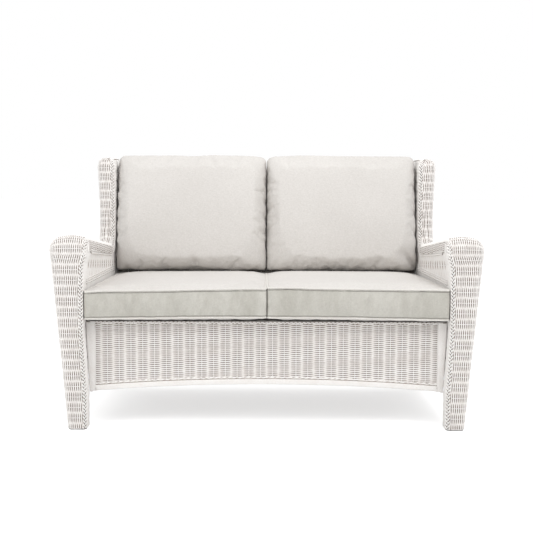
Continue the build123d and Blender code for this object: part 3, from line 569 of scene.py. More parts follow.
def wicker_material():
    material, graph, shader = new_material("resin_wicker")
    coords = graph.coords()
    depth = graph.node("Attribute")
    depth.attribute_name = "deep"
    tone = graph.ramp(
        graph.noise(coords, 26),
        (0.3, (0.92, 0.895, 0.875)), (0.52, (0.945, 0.928, 0.91)), (0.75, (0.96, 0.948, 0.935)),
    )
    streak = graph.ramp(graph.noise(coords, 420, 2.0), (0.3, (0.93, 0.915, 0.9)), (0.7, (1, 1, 1)))
    # Painted shade: the deeper a vertex lies below the surface, the darker its colour, for the
    # shade between the strands
    crevice_shade = graph.ramp(
        graph.math("DIVIDE", depth.outputs["Fac"], SHADE_DEEP),
        (0.22, (1, 1, 1)), (0.28, (0.66, 0.6, 0.57)), (0.34, (0.38, 0.32, 0.29)),
        (0.6, (0.25, 0.2, 0.17)),
    )
    graph.fill(
        shader, Base_Color=graph.multiply(1.0, graph.multiply(0.8, tone, streak), crevice_shade),
        Roughness=graph.ramp(graph.noise(coords, 160), (0.3, (0.42,) * 3), (0.7, (0.58,) * 3)),
        Specular_IOR_Level=0.35, Normal=graph.bump(graph.noise(coords, 900, 2.0), 0.25, 0.0004),
    )
    return material


def hard_material(name, colour, metallic, rough, speck=900.0, strength=0.15):
    """Coated steel, bare steel or plastic."""
    material, graph, shader = new_material(name)
    coords = graph.coords()
    dim = tuple(c * 0.9 for c in colour)
    low, high = (rough - 0.06,) * 3, (rough + 0.06,) * 3
    graph.fill(
        shader, Base_Color=graph.ramp(graph.noise(coords, 14), (0.3, dim), (0.7, colour)),
        Roughness=graph.ramp(graph.noise(coords, 90), (0.3, low), (0.7, high)),
        Metallic=metallic, Normal=graph.bump(graph.noise(coords, speck, 2.0), strength, 0.0003),
    )
    return material


def fabric_material(name, colour, dark, patch=5.5, upright=1.0):
    """Woven cloth. patch is the scale of its lighter and darker patches, upright their stretch;
    upright bands are painted fold shade.
    """
    material, graph, shader = new_material(name)
    coords = graph.coords()
    threads = [
        graph.noise(coords, 1000, 1.0, stretch)
        for stretch in ((1, 0.12, 0.12), (0.12, 1, 0.12), (0.12, 0.12, 1))
    ]
    cloth = graph.math("ADD", graph.math("ADD", threads[0], threads[1]), threads[2])
    slub = graph.noise(coords, 210, 4.0)
    # Lighter and darker patches: random tone, and when stretched upright, bands of painted fold
    # shade
    patches = graph.noise(coords, patch, 4.0, (1, 1, upright))
    tone = graph.ramp(patches, (0.3, dark), (0.7, colour))
    grain = graph.ramp(slub, (0.3, (0.93, 0.93, 0.925)), (0.7, (1, 1, 1)))
    thread = graph.math("DIVIDE", cloth, 3.0)
    thread = graph.ramp(thread, (0.35, (0.9, 0.895, 0.885)), (0.6, (1, 1, 1)))
    graph.fill(
        shader, Base_Color=graph.multiply(1.0, graph.multiply(1.0, tone, grain), thread),
        Roughness=0.92, Specular_IOR_Level=0.2, Sheen_Weight=0.15, Sheen_Roughness=0.5,
        Normal=graph.bump(graph.math("ADD", cloth, slub), 0.35, 0.0006),
    )
    return material


wicker = wicker_material()
coated = hard_material("coated_steel", (0.86, 0.845, 0.82), 0.0, 0.4)
steel = hard_material("fastener_steel", (0.62, 0.62, 0.63), 1.0, 0.34, 600.0, 0.1)
plastic = hard_material("glide_plastic", (0.17, 0.165, 0.16), 0.0, 0.55, 500.0, 0.2)
cloth_main = fabric_material("cushion_cloth", (0.71, 0.685, 0.66), (0.68, 0.655, 0.63))
# Boxing cloth: greyer than the top's, also darker as painted shade of the upright faces, with
# upright darker bands of painted fold shade
cloth_side_shaded = fabric_material("boxing_cloth_shaded", (0.6, 0.585, 0.54), (0.5, 0.485, 0.44), 17.0, 0.22)
cloth_trim = fabric_material("piping_cloth", (0.77, 0.745, 0.71), (0.73, 0.71, 0.675))
# Dark cloth for the strands painted as the piping's shadow
painted_shadow_cloth = fabric_material("piping_shadow_cloth", (0.3, 0.285, 0.26), (0.26, 0.25, 0.23))


# Woven pieces
def arm_pieces(side):
    """Front leg, arm and wing: one continuous weave with a braid along its inner round."""
    along, phase = marks(sum(ARM_PARTS), LEG_STAKE, CURVED)
    step = np.arange(0.5, SLEEVE_REACH / PITCH) * PITCH
    inner, outer = BORDER - BORDER_CLEAR - step, BORDER + BORDER_CLEAR + step
    P, N, ok = sleeve([arm_place(t) for t in along], np.concatenate([inner[::-1], outer]))
    places = np.arange(0, sum(ARM_PARTS) - 12, 9.0)
    path, normal, _ = sleeve([arm_place(t) for t in places], np.array([BORDER]))
    x = PILLAR[0] + WING_IN + 12
    over = np.array([
        (x + 3, WING_NEAR + 22, WING_TOP - 1.5),
        (x + 4, WING_NEAR + 60, WING_TOP - 0.5),
        (x + 4, WING_REAR - 60, WING_TOP - 0.5),
        (x + 3, WING_REAR - 24, WING_TOP - 1.5),
        (x + 1, WING_REAR - 5, WING_TOP - 14),
    ])
    over_n = [(-0.3, -0.7, 0.7), (-0.3, 0, 1), (-0.3, 0, 1), (-0.3, 0.5, 1), (-0.3, 1, 0.3)]
    path = np.concatenate([path[:, 0], over])
    normal = np.concatenate([normal[:, 0], unit(np.array(over_n, float))])
    gone = run_of(path)
    ends = (0, ARM_PARTS[0], sum(ARM_PARTS[:4]), math.inf)
    for part, low, high in zip(("front_leg", "arm", "wing"), ends, ends[1:]):
        mesh = Mesh()
        spare = LEG_STAKE * 0.2
        rows = np.nonzero((along >= low - spare) & (along <= high + spare))[0]
        mesh.weave(P[rows], N[rows], ok[rows], phase[rows])
        rows = np.nonzero((gone >= low - 10) & (gone <= high + 10))[0]
        mesh.braid(path[rows], normal[rows])
        if part == "wing":
            wing_cap(mesh)
        mesh.woven(part, side)


def wing_cap(mesh):
    """Domed top of a wing."""
    x = np.arange(PILLAR[0] + 22, PILLAR[1] + WING_OUT - 12, PITCH)
    near = WING_NEAR + 8
    along, phase = marks(WING_REAR - 8 - near, LEG_STAKE, CURVED)
    Y, X = grid(near + along, x)
    middle = (Y[0, 0] + Y[-1, 0]) / 2
    fall_y = 12 * ((Y - middle) / (Y[-1, 0] - middle)) ** 8
    fall_x = 5 * ((X - x.mean()) / (x[-1] - x.mean())) ** 4
    P = np.stack([X, Y, WING_TOP - (fall_y + fall_x)], -1)
    N = np.broadcast_to(np.array([0, 0, 1.0]), P.shape)
    mesh.weave(P, N, np.ones(P.shape[:2], bool), phase)


def rear_leg_front(z):
    return np.interp(z, (GLIDE, SEAT_LINE), (FOOT_FRONT, PILLAR_FRONT))


def rear_leg_piece(side):
    stations = []
    along, phase = marks(TURN_Z + 12 - GLIDE, LEG_STAKE, FLAT)
    for z in GLIDE + along:
        rear = np.interp(z, (GLIDE, SEAT_LINE), (FOOT_REAR, PILLAR_REAR))
        if z > SEAT_LINE:
            rear = back_y(z) + BACK_RUN
        section = (*PILLAR, -rear, -rear_leg_front(z), CORNER, CORNER, CORNER, 0, True)
        stations.append(((0, z), (-1, 0), section))
    P, N, ok = sleeve(stations, (np.arange(-58, 58) + 0.5) * PITCH)
    mesh = Mesh()
    mesh.weave(P, N, ok, phase, sides=4)
    mesh.woven("rear_leg", side)


def under_arm(y):
    """Height of the arm's lower edge."""
    start = (FALL_Y, FALL_Z + 2)
    end = (TURN_Y - ARM_REACH * math.sin(SLOPE), TURN_Z - ARM_REACH * math.cos(SLOPE))
    line = start[1] + (y - start[0]) * (end[1] - start[1]) / (end[0] - start[0])
    curve = TURN_Z - np.sqrt(np.maximum(ARM_REACH ** 2 - (y - TURN_Y) ** 2, 0))
    return np.where(y < end[0], line, curve)


def arch_z(x, side, low, rise):
    """Height of an arch that springs from low at both sides."""
    radius = (side * side + rise * rise) / (2 * rise)
    return low + rise - radius + np.sqrt(np.maximum(radius * radius - x * x, 0))


def side_arch(y):
    middle, half = (FALL_Y + PILLAR_FRONT) / 2, (PILLAR_FRONT - FALL_Y) / 2
    return arch_z(y - middle, half, APRON_LOW, SKIRT_RISE)


def apron_arch(x, low):
    return arch_z(x, APRON_SIDE, low, APRON_RISE)


def between(y, near, rear):
    """Place across of a panel that runs from the front leg to the rear leg."""
    return near + (rear - near) * (y - FALL_Y) / (POST_SEAT_Y - FALL_Y)


def arm_panel(y, z, low, high, wide, rear, sign):
    """Sheet between the legs, which is wide at its front at the heights of high.

    With sign 1 it is the outer one, with strands along and an arched lower edge. With sign -1 it is
    the inner one, with strands that stand. Its ends reach into both legs.
    """
    Y, Z = grid(y, z)
    if sign < 0:
        Y, Z = Y.T, Z.T
        Z = Z - PANEL_SHEAR * (Y - FALL_Y)
    tuck = PANEL_TUCK * np.clip((Y - rear_leg_front(Z)) / 8, 0, 1)
    X = between(Y, np.interp(Z, high, wide), rear) - sign * tuck
    P = np.stack([X, Y, Z], -1)
    N = unit(np.cross(np.gradient(P, axis=0), np.gradient(P, axis=1)))
    N = N * np.sign(N[..., :1]) * sign
    front = FRONT + np.interp(Z, LEG_TABLE[:, 0], LEG_TABLE[:, 3])
    ok = (Y > front - 12 - 6 * sign) & (Y < rear_leg_front(Z) + 22)
    ok &= (Z < under_arm(Y) + 5) & (Z > low - 2)
    if sign > 0:
        ok &= Z > side_arch(Y) + 3
    return P, N, ok


def outer_panel(side):
    foot = LEG_TABLE[1, 1] + LEG_TABLE[1, 2]
    wide = [x - PANEL_INSET for x in (foot, KNEE_OUTER, 667, 673)]
    high = (APRON_LOW, KNEE_Z, THROAT_Z, ARM_HEIGHT)
    along, phase = marks(FOOT_FRONT + 12 - FALL_Y, PANEL_STAKE, FLAT)
    rows = np.arange(APRON_LOW + 2, TURN_Z, PITCH)
    mesh = Mesh()
    P, N, ok = arm_panel(FALL_Y + along, rows, APRON_LOW, high, wide, PILLAR[1], 1)
    mesh.weave(P, N, ok, phase, sides=4)
    y = np.linspace(FRONT + 66, FOOT_FRONT - 8, 60)
    x = between(y, wide[0], PILLAR[1])
    for rise in EDGE_TWINE:
        mesh.twine(np.stack([x, y, side_arch(y) + rise], -1), ACROSS, 1.9, proud=1.2)
    y = np.linspace(FALL_Y + 2, TURN_Y + 60, 60)
    x = np.interp(y, (FALL_Y, TURN_Y), (HEAD[1], TAIL[1]))
    mesh.twine(np.stack([x, y, under_arm(y) + 1], -1), ACROSS, 2.4, 16.0, proud=1.4)
    mesh.woven("side", side)


def inner_panel(side):
    wide = [x + 0.5 for x in (LEG_INNER, LEG_INNER, 563, 551)]
    high = (DECK, KNEE_Z, THROAT_Z, FALL_Z)
    along, phase = marks(TURN_Z + 60 - DECK, BAND_STAKE, FLAT)
    rows = np.arange(FALL_Y, PILLAR_FRONT + 12, PITCH)
    mesh = Mesh()
    P, N, ok = arm_panel(rows, DECK + along, DECK, high, wide, PILLAR[0] + 0.5, -1)
    swing = 0.3 + 1.2 * np.exp(-(((phase - BAND_ROW) / 0.6) ** 2))
    mesh.weave(P, N, ok, phase, swing=swing[:, None], group=6)
    y = np.linspace(FRONT + 92, TURN_Y + 60, 60)
    z = under_arm(y) + 1
    x = between(y, np.interp(z, high, wide), PILLAR[0])
    for drop in (1.0, 8.0):
        mesh.twine(np.stack([x, y, z - drop], -1), -ACROSS, 1.9, proud=1.4)
    y = np.linspace(FRONT + 72, PILLAR_FRONT + 8, 40)
    for level in BAND_TWINE:
        x = between(y, np.interp(level, high, wide), PILLAR[0])
        mesh.twine(np.stack([x, y, np.full_like(y, level)], -1), -ACROSS, 2.0, 18.0, proud=1.0)
    mesh.woven("inner_arm", side)


def flat_weave(origin, up, normal, half, low, high, edge=None, pitch=PITCH, **options):
    """Mesh of a flat sheet with strands across, between two heights along its up direction."""
    along, phase = flat_marks(half)
    U, V = grid(along - half, np.arange(low + PITCH / 2, high, pitch))
    origin, up, normal = (np.array(a, float) for a in (origin, up, normal))
    P = origin + U[..., None] * ACROSS + V[..., None] * up
    ok = np.ones(P.shape[:2], bool) if edge is None else edge(P)
    mesh = Mesh()
    mesh.weave(P, np.broadcast_to(normal, P.shape), ok, phase, **options)
    return mesh


for side in SIDES:
    arm_pieces(side)
    rear_leg_piece(side)
    outer_panel(side)
    inner_panel(side)

# Apron
apron_half = APRON_SIDE - WRAP
mesh = flat_weave(
    (0, APRON_FACE, 0), (0, 0, 1), AHEAD, apron_half, APRON_LOW + BAND - 8, DECK - 7,
    lambda P: P[..., 2] > apron_arch(P[..., 0], APRON_LOW + BAND) - 8,
)
line = [(x, APRON_FACE, DECK - 4) for x in np.linspace(-apron_half, apron_half, 9)]
mesh.twine(line, AHEAD, 2.1, 26.0, proud=1.0)
x = np.linspace(-apron_half, apron_half, 81)
row = np.stack([x, np.full_like(x, APRON_FACE), apron_arch(x, APRON_LOW + BAND) + 2], -1)
mesh.twine(row, AHEAD, 2.3, 38.0, proud=1.0)
# Dark strand under the twined row: measured deep, it is painted as the shadow line below the row
under = row + np.array([0, 0.5, -2.6])
mesh.strand(under, AHEAD, 1.3, surface=under + 5 * AHEAD)
mesh.build("apron_wicker", wicker, ["front_apron_weave"])

mesh = Mesh()
x = np.arange(-apron_half + 1, apron_half, BAR_PITCH)
z = apron_arch(x, APRON_LOW) + BAND / 2
path = np.stack([x, np.full_like(x, APRON_FACE + 2), z], -1)
out = np.broadcast_to(AHEAD, path.shape)
mesh.rings(path, unit(np.cross(out, unit(np.gradient(path, axis=0)))), out, BAND / 2 - 0.3)
mesh.build("apron_band", wicker, ["apron_rope"])

for side in SIDES:
    mesh = Mesh()
    z = np.arange(APRON_LOW + 2, DECK - 1, BAR_PITCH)
    outer = np.interp(z, LEG_TABLE[:, 0], LEG_TABLE[:, 1]) - 0.2
    path = np.stack([(apron_half + outer) / 2, np.full_like(z, APRON_FACE + 2), z], -1)
    across, out = (np.broadcast_to(way, path.shape) for way in (ACROSS, AHEAD))
    mesh.rings(path, across, out, (outer - apron_half) / 2)
    mesh.build(f"apron_end_{side}", wicker, [f"apron_end_wrap_{side}"], side=side)

# Back
back_up = np.array([0, math.sin(TILT), math.cos(TILT)])
back_out = np.array([0, -math.cos(TILT), math.sin(TILT)])
back_foot = np.array([0, BACK_FACE, SEAT_LINE])
mesh = flat_weave(back_foot, back_up, back_out, BACK_HALF, -BACK_DROP, ROLL_REACH, sides=4)
mesh.woven("back_front")

mesh = flat_weave(
    back_foot - BACK_THICK * back_out, back_up, -back_out, BACK_HALF, -BACK_DROP, ROLL_REACH - 10,
    sides=4,
)
mesh.woven("back_rear")

mesh = Mesh()
roll_middle = np.array([0, ROLL_Y, ROLL_Z])
angle = np.radians(180) - np.arange(0, math.radians(215) * ROLL_R / PITCH) * PITCH / ROLL_R
along, phase = flat_marks(BACK_HALF)
X, A = grid(along - BACK_HALF, angle)
N = np.cos(A)[..., None] * -back_out + np.sin(A)[..., None] * back_up
P = roll_middle + X[..., None] * ACROSS + ROLL_R * N
mesh.weave(P, N, np.ones(P.shape[:2], bool), phase, sides=4)
lip = math.radians(-35)
lip_out = math.cos(lip) * -back_out + math.sin(lip) * back_up
lip_middle = roll_middle + (ROLL_R - 1) * lip_out
line = [lip_middle + x * ACROSS for x in np.linspace(-BACK_HALF, BACK_HALF, 9)]
mesh.twine(line, lip_out, 2.2, 15.0)
mesh.woven("back_top")

# Rear skirt, which leans with the rear legs
turn = SPLAY / (SEAT_LINE - GLIDE)
turn_cos = 1 / math.sqrt(1 + turn * turn)
skirt_out = np.array([0, turn_cos, turn_cos * turn])
skirt_up = (0, -turn_cos * turn, turn_cos)
skirt_origin = np.array([0, POST_SEAT_Y, SEAT_LINE]) + SKIRT_OUT * skirt_out
skirt_top = -BACK_DROP * math.cos(TILT) - BACK_THICK * math.sin(TILT) + 9
skirt_low = (APRON_LOW - SEAT_LINE) / turn_cos
mesh = flat_weave(
    skirt_origin, skirt_up, skirt_out, BACK_HALF + 6, skirt_low, skirt_top,
    lambda P: P[..., 2] > arch_z(P[..., 0], PILLAR[0], APRON_LOW, SKIRT_RISE) + 4, sides=4,
)
x = np.linspace(-BACK_HALF, BACK_HALF, 61)
for rise in EDGE_TWINE:
    z = arch_z(x, PILLAR[0], APRON_LOW, SKIRT_RISE) + rise
    y = skirt_origin[1] - (z - skirt_origin[2]) * turn
    mesh.twine(np.stack([x, y, z], -1), skirt_out, 1.9, proud=1.0)
mesh.woven("rear_skirt")

# Seat deck, notched round the rear legs
mesh = flat_weave(
    (0, 0, DECK), (0, 1, 0), (0, 0, 1), LEG_INNER - 1, APRON_FACE + 7, BACK_FACE - 1,
    lambda P: (np.abs(P[..., 0]) < BACK_HALF) | (P[..., 1] < PILLAR_FRONT - 2),
    sides=4, pitch=5.0, radius=2.1, swing=0.8, skip=2,
)
mesh.woven("seat_deck")

# Tubes, fasteners and feet keep their solid shapes
for name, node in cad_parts.items():
    if "cushion" in name or "weave" in name or "wrap" in name or name == "apron_rope":
        continue
    if name == "foot_glides":
        finish = plastic
    elif name.startswith(("seat_bolts", "seat_nuts", "seat_spacers", "back_bolts")):
        finish = steel
    else:
        finish = coated
    node.data.materials.clear()
    node.data.materials.append(finish)

# Cushions. A seat's side is its inner one, then its outer one at the front and at the rear
SEAT_SIDE = (0.5, 566.0, 532.0)
SEAT_Y = (-394.0, 198.0)
SEAT_EDGE = DECK + 102
SEAT_CROWN = 8.0
SEAT_LIFT = {"left": (8.0, -4.0), "right": (10.0, 4.0)}
SEAT_FOLDS = {"left": 1.7, "right": 1.3}
BACK_SIDE = (1.0, 543.0)
BACK_LOW = 447.0
BACK_TOP = 861.0
BACK_EDGE = {
    "left": ((0, 0.1, 0.35, 0.52, 0.6, 0.9, 1), (-6, 0, 3, -2, 1, 0, -2)),
    "right": ((0, 0.1, 0.25, 0.5, 0.9, 1), (-5, 0, 3.5, 1, 1, -1)),
}
# Dents in a back cushion's face: place in shares, half sizes, slant and depth
BACK_DENTS = {
    "left": (
        (0.47, 0.045, 9, 14, 0.3, 9), (0.925, 0.03, 12, 8, 0.5, 14), (0.06, 0.03, 9, 10, -0.4, 8),
    ),
    "right": (
        (0.955, 0.08, 9, 26, 0.7, 20), (0.98, 0.03, 10, 10, 0, 12), (0.05, 0.04, 8, 16, -0.3, 8),
    ),
}
# Sizes of the back cushion's face that its dents are measured on
BACK_SPAN = (538, 410)
VOXEL = 6.0
PIPE = 3.0
PIPE_PROUD = 1.6
# Radius of the dark strand that is painted shadow beside the piping
SHADOW_RADIUS = 1.1


def mirror(side):
    return -1 if side == "left" else 1


def lattice(*sizes):
    """Vertices on a box's surface as shares from 0 to 1, and the quads between them."""
    index, shares, faces = {}, [], []

    def vertex(key):
        if key not in index:
            index[key] = len(shares)
            shares.append([k / n for k, n in zip(key, sizes)])
        return index[key]

    for axis in range(3):
        u, v = (axis + 1) % 3, (axis + 2) % 3
        for end in (0, sizes[axis]):
            for a in range(sizes[u]):
                for b in range(sizes[v]):
                    quad = []
                    for da, db in ((0, 0), (1, 0), (1, 1), (0, 1)):
                        key = [0, 0, 0]
                        key[axis], key[u], key[v] = end, a + da, b + db
                        quad.append(vertex(tuple(key)))
                    faces.append(quad if end else quad[::-1])
    return np.array(shares), faces


def spread(share):
    """Shares drawn towards both ends, where the form turns fastest."""
    return 0.4 * share + 0.6 * (0.5 - 0.5 * np.cos(math.pi * share))


def rounded(px, pz, x, sx, z, sz, radius):
    """Brings the corner at x and z, on the sides sx and sz, round a quarter circle."""
    dx = np.clip(1 - sx * (x - px) / radius, 0, 1)
    dz = np.clip(1 - sz * (z - pz) / radius, 0, 1)
    px = px + sx * radius * dx * (np.sqrt(1 - dz * dz / 2) - 1)
    return px, pz + sz * radius * dz * (np.sqrt(1 - dx * dx / 2) - 1)


def seat_edge(share, side):
    """Heights of the front's lower and upper seams, from the middle of the loveseat outwards."""
    ends = SEAT_LIFT[side]
    return DECK + 18 - 6 * share, SEAT_EDGE + ends[0] + (ends[1] - ends[0]) * share


def seat_form(shares, side):
    """Seat cushion: boxed, crowned, with rounded corners in plan."""
    x, y, z = shares.T
    u, v = spread(x), spread(y)
    cx, cy = 2 * u - 1, 2 * v - 1
    near = SEAT_Y[0] + 5 * (1 - cx ** 4)
    py = near + (SEAT_Y[1] - near) * v
    wide = SEAT_SIDE[1] + (SEAT_SIDE[2] - SEAT_SIDE[1]) * v
    px = SEAT_SIDE[0] + (wide - SEAT_SIDE[0]) * u
    for place, way, radius in ((SEAT_SIDE[0], -1, 3), (wide, 1, 12)):
        px, py = rounded(px, py, place, way, near, -1, radius)
        px, py = rounded(px, py, place, way, SEAT_Y[1], 1, radius)
    low, high = seat_edge(u, side)
    low = DECK + 0.6 + (low - DECK) * np.clip(1 - (py - near) / 150, 0, 1)
    high = SEAT_EDGE + (high - SEAT_EDGE) * (1 - v) ** 0.5
    crown = SEAT_CROWN * (1 - cx ** 6) * (1 - cy ** 6)
    top = high + crown * np.clip(z * 4 - 3, 0, 1)
    pz = low + (top - low) * z
    py = py - 3 * np.sin(math.pi * z) * (y < 0.001)
    return np.stack([px, py, pz], -1)


def back_form(shares, side):
    """Back cushion: full in the middle and thinner at its edges, leaning on the back."""
    x, y, z = shares.T
    u, w = spread(x), spread(z)
    cx, cz = 2 * u - 1, 2 * w - 1
    top = BACK_TOP + np.interp(u, *BACK_EDGE[side])
    px = BACK_SIDE[0] + (BACK_SIDE[1] - BACK_SIDE[0]) * u
    pz = BACK_LOW + (top - BACK_LOW) * w
    for place, way in zip(BACK_SIDE, (-1, 1)):
        px, pz = rounded(px, pz, place, way, top, 1, 20)
        px, pz = rounded(px, pz, place, way, BACK_LOW, -1, 9)
    # Share of the fullness, then the thickness at the edges and in the middle
    full = np.sqrt((1 - cx ** 8) * (1 - np.clip(cz, 0, 1) ** 7) * (1 - np.clip(-cz, 0, 1) ** 9))
    wall = 88 - 45 * np.abs(cx * cz) ** 3 - 20 * w
    depth = 118 - 34 * w + 22 * np.sin(math.pi * w)
    rear = back_y(pz) - 1.0
    front = rear - wall - (depth - wall) * full
    for du, dw, wide, high, slant, deep in BACK_DENTS[side]:
        a, b = (u - du) * BACK_SPAN[0], (w - dw) * BACK_SPAN[1]
        c, s = math.cos(slant), math.sin(slant)
        a, b = a * c + b * s, b * c - a * s
        front = front + deep * np.exp(-(a / wide) ** 2 - (b / high) ** 2)
    return np.stack([px, front + (rear - front) * y, pz], -1)


def seam_loop(form, side, shares_at):
    """Closed line round a form. shares_at turns the line's two shares into the form's three."""
    t = np.linspace(0, 1, 40)
    ways = ((t, 0 * t), (0 * t + 1, t), (1 - t, 0 * t + 1), (0 * t, 1 - t))
    points = [form(np.stack(shares_at(a, b), -1), side)[:-1] for a, b in ways]
    loop = np.concatenate([*points, points[0][:1]])
    loop[:, 0] *= mirror(side)
    return loop


def build_cushion(kind, form, counts, side):
    """Closed form of a cushion as an object of its own."""
    shares, faces = lattice(*counts)
    verts = form(shares, side) * np.array([mirror(side), 1, 1])
    if side == "left":
        faces = [f[::-1] for f in faces]
    name = f"{kind}_cushion_{side}_cloth"
    mesh = bpy.data.meshes.new(name)
    mesh.from_pydata([tuple(v) for v in verts * MM], [], faces)
    mesh.update()
    mesh.materials.append(cloth_main)
    return new_object(name, mesh)


def apply_modifier(obj, modifier):
    bpy.context.view_layer.objects.active = obj
    bpy.ops.object.select_all(action="DESELECT")
    obj.select_set(True)
    bpy.ops.object.modifier_apply(modifier=modifier.name)


def read_verts(mesh):
    verts = np.zeros(len(mesh.vertices) * 3)
    mesh.vertices.foreach_get("co", verts)
    return verts.reshape(-1, 3)


def puff(obj, seams, cap, grow, pressure, seed):
    """Remeshes a closed form and inflates it as cloth that is held at its seams.

    Returns its vertices, each of which has moved by cap at most.
    """
    remesh = obj.modifiers.new("remesh", "REMESH")
    remesh.mode = "VOXEL"
    remesh.voxel_size = VOXEL * MM
    apply_modifier(obj, remesh)
    rest = read_verts(obj.data)
    near = np.full(len(rest), 1e9)
    for path in seams:
        fine = resample(path, (0, 0, 1), 4.0)[0] * MM
        for start in range(0, len(rest), 4000):
            block = rest[start:start + 4000]
            gap = np.linalg.norm(block[:, None] - fine[None], axis=2).min(1)
            near[start:start + 4000] = np.minimum(near[start:start + 4000], gap)
    group = obj.vertex_groups.new(name="seam")
    held = np.nonzero(near < 0.8 * VOXEL * MM)[0]
    group.add([int(k) for k in held], 1.0, "REPLACE")
    ripple = np.random.default_rng(seed).normal(0, 0.0003, rest.shape)
    obj.data.vertices.foreach_set("co", (rest + ripple).ravel())
    cloth = obj.modifiers.new("cloth", "CLOTH")
    s = cloth.settings
    s.quality = 5
    s.mass = 0.3
    s.tension_stiffness = 25
    s.compression_stiffness = 25
    s.shear_stiffness = 10
    s.bending_stiffness = 1.2
    s.use_pressure = True
    s.uniform_pressure_force = pressure
    s.shrink_min = -grow
    s.vertex_group_mass = "seam"
    s.effector_weights.gravity = 0
    cloth.collision_settings.use_self_collision = False
    cloth.point_cache.frame_start = 1
    cloth.point_cache.frame_end = 20
    scene = bpy.context.scene
    for number in range(1, 21):
        scene.frame_set(number)
    graph = bpy.context.evaluated_depsgraph_get()
    shift = read_verts(obj.evaluated_get(graph).data) - rest
    obj.modifiers.remove(cloth)
    scene.frame_set(1)
    length = np.linalg.norm(shift, axis=1, keepdims=True)
    return rest + shift * np.minimum(1, cap * MM / np.maximum(length, 1e-9))


def wrinkle(run, z, seed, size):
    """Soft upright folds along the boxing."""
    local = np.random.default_rng(seed)
    height = 0 * run
    for wave in (28, 38, 52, 70):
        phase, slant = local.uniform(0, 2 * math.pi), local.normal(0, 0.35)
        height = height + np.cos(2 * math.pi * (run + slant * z) / wave + phase)
    return size * height


def finish_soft(obj, verts, kind, side):
    """Takes the vertices into the mesh, refines it and says what it stands for."""
    obj.data.vertices.foreach_set("co", verts.ravel())
    obj.data.update()
    for poly in obj.data.polygons:
        poly.use_smooth = True
    fine = obj.modifiers.new("fine", "SUBSURF")
    fine.levels = 1
    apply_modifier(obj, fine)
    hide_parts(f"{kind}_cushion_cover_{side}", f"{kind}_cushion_core_{side}")
    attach(obj, f"{kind}_cushion_{side}")


def piping(obj, loop, place, side, way):
    """Piping along a seat's seam, with a dark strand beside it as painted shadow: above for way 1,
    below for way -1.
    """
    tree = BVHTree.FromObject(obj, bpy.context.evaluated_depsgraph_get())
    fine, _, _ = resample(loop, (0, 0, 1), 6.0)
    points, normals = [], []
    for p in fine[:-1]:
        found, normal, _, _ = tree.find_nearest(Vector(p * MM))
        points.append(np.array(found) / MM)
        normals.append(np.array(normal))
    points, normals = np.array(points), np.array(normals)
    for _ in range(2):
        points = (np.roll(points, 1, 0) + 2 * points + np.roll(points, -1, 0)) / 4
        normals = unit(np.roll(normals, 1, 0) + 2 * normals + np.roll(normals, -1, 0))
    points = np.concatenate([points, points[:2]])
    normals = np.concatenate([normals, normals[:2]])
    mesh = Mesh()
    mesh.strand(points + normals * PIPE_PROUD, normals, PIPE, 8)
    body = f"seat_cushion_{side}"
    mesh.build(f"seat_piping_{place}_{side}", cloth_trim, (), body, "cushion_fabric")
    # Dark strand beside the piping, painted shadow in its crease
    beside = []
    for p, normal in zip(points, normals):
        off = unit(normal * np.array([1, 1, 0])) * 4 + np.array([0, 0, way * (PIPE + 1.4)])
        beside.append(np.array(tree.find_nearest(Vector((p + off) * MM))[0]) / MM)
    mesh = Mesh()
    mesh.strand(np.array(beside), normals, SHADOW_RADIUS, 6)
    mesh.build(f"seat_piping_shadow_{place}_{side}", painted_shadow_cloth, (), body, "cushion_fabric")


def seat_cushion(side, number):
    seat = build_cushion("seat", seat_form, (36, 36, 10), side)
    low_seam, top_seam = (
        seam_loop(seat_form, side, lambda a, b: (a, b, np.full_like(a, z))) for z in (0, 1)
    )
    verts = puff(seat, (low_seam, top_seam), 6.0, 0.01, 2.0, 11 + number)
    x, y = np.abs(verts[:, 0]), verts[:, 1] / MM
    verts[:, 2] = np.maximum(verts[:, 2], (DECK + 0.5) * MM)
    limit = np.interp(y, (FALL_Y, POST_SEAT_Y), (LEG_INNER + 0.2, PILLAR[0] + 0.2)) * MM
    verts[:, 0] = mirror(side) * np.clip(x, 0.4 * MM, limit)
    verts[:, 1] = np.minimum(verts[:, 1], (back_y(verts[:, 2] / MM) - 2.0) * MM)
    low, high = seat_edge(x / MM / SEAT_SIDE[1], side)
    z = verts[:, 2] / MM
    band = np.sin(math.pi * np.clip((z - low) / (high - low), 0, 1)) ** 0.6
    face = np.clip(1 - (y - SEAT_Y[0]) / 22, 0, 1)
    verts[:, 1] -= wrinkle(x / MM, z, 31 + number, SEAT_FOLDS[side]) * band * face * MM
    finish_soft(seat, verts, "seat", side)
    seat.data.materials.append(cloth_side_shaded)
    # Upright faces take the boxing cloth, whose darker colour is partly painted shade
    for poly in seat.data.polygons:
        poly.material_index = int(abs(poly.normal.z) < 0.6)
    piping(seat, low_seam, "low", side, 1)
    piping(seat, top_seam, "top", side, -1)


def back_cushion(side, number):
    back = build_cushion("back", back_form, (44, 8, 40), side)
    seam = seam_loop(back_form, side, lambda a, b: (a, np.full_like(a, 0.5), b))
    verts = puff(back, (seam,), 16.0, 0.03, 3.0, 21 + number)
    verts[:, 0] = mirror(side) * np.clip(np.abs(verts[:, 0]), 0.8 * MM, BACK_SIDE[1] * MM)
    verts[:, 1] = np.minimum(verts[:, 1], (back_y(verts[:, 2] / MM) - 0.6) * MM)
    verts[:, 2] = np.clip(verts[:, 2], BACK_LOW * MM, 870.0 * MM)
    finish_soft(back, verts, "back", side)


for number, side in enumerate(SIDES):
    seat_cushion(side, number)
    back_cushion(side, number)

# Floor, light and camera
FLOOR_GLOW = 0.62
WORLD_LIGHT = 0.64

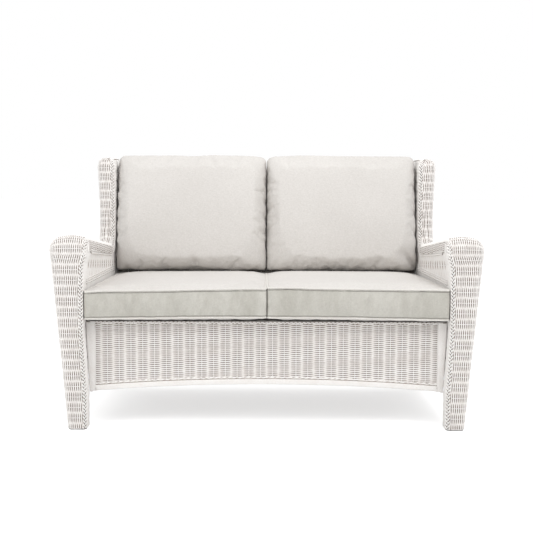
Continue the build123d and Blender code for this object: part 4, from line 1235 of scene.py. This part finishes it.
floor_mesh = bpy.data.meshes.new("floor")
floor_mesh.from_pydata([(-30, -30, 0), (30, -30, 0), (30, 30, 0), (-30, 30, 0)], [], [(0, 1, 2, 3)])
floor = new_object("floor", floor_mesh)
material, graph, shader = new_material("floor")
seen = graph.seen("Is Camera Ray", "Is Glossy Ray")
graph.fill(
    shader, Base_Color=(0.9, 0.9, 0.9), Roughness=0.9, Specular_IOR_Level=0.1,
    Emission_Color=(1, 1, 1), Emission_Strength=graph.math("MULTIPLY", seen, FLOOR_GLOW),
)
floor.data.materials.append(material)

world = bpy.data.worlds.new("world")
bpy.context.scene.world = world
world.use_nodes = True
graph = Graph(world.node_tree)
seen = graph.seen("Is Camera Ray", "Is Glossy Ray", "Is Transmission Ray")
level = graph.math("ADD", graph.math("MULTIPLY", seen, 1 - WORLD_LIGHT), WORLD_LIGHT)
graph.fill(graph.nodes["Background"], Color=(1, 1, 1), Strength=level)


def area_light(name, place, size, power):
    """Area light that looks at the middle of the loveseat."""
    data = bpy.data.lights.new(name, "AREA")
    data.shape = "RECTANGLE"
    data.size, data.size_y = size
    data.energy = power
    obj = new_object(name, data)
    obj.location = place
    way = Vector((0, 0, 0.4)) - Vector(place)
    obj.rotation_euler = way.to_track_quat("-Z", "Y").to_euler()


area_light("key", (1.5, -2.6, 3.2), (2.4, 2.4), 58)
area_light("fill", (-2.4, -2.4, 2.0), (2.2, 2.2), 30)
area_light("top", (0.3, 0.2, 3.4), (3.0, 2.4), 33)

camera_data = bpy.data.cameras.new("camera")
camera_data.lens = 70.0
camera_data.sensor_width = 36.0
camera = new_object("camera", camera_data)
camera.location = (-0.015, -3.563, 0.787)
yaw, pitch, roll = (math.radians(a) for a in (0.24, 4.98, 0.25))
look = (math.sin(yaw) * math.cos(pitch), math.cos(yaw) * math.cos(pitch), -math.sin(pitch))
turned = Vector(look).to_track_quat("-Z", "Y").to_matrix() @ Matrix.Rotation(roll, 3, "Z")
camera.rotation_euler = turned.to_euler()
bpy.context.scene.camera = camera
bpy.context.scene.view_settings.view_transform = "Standard"
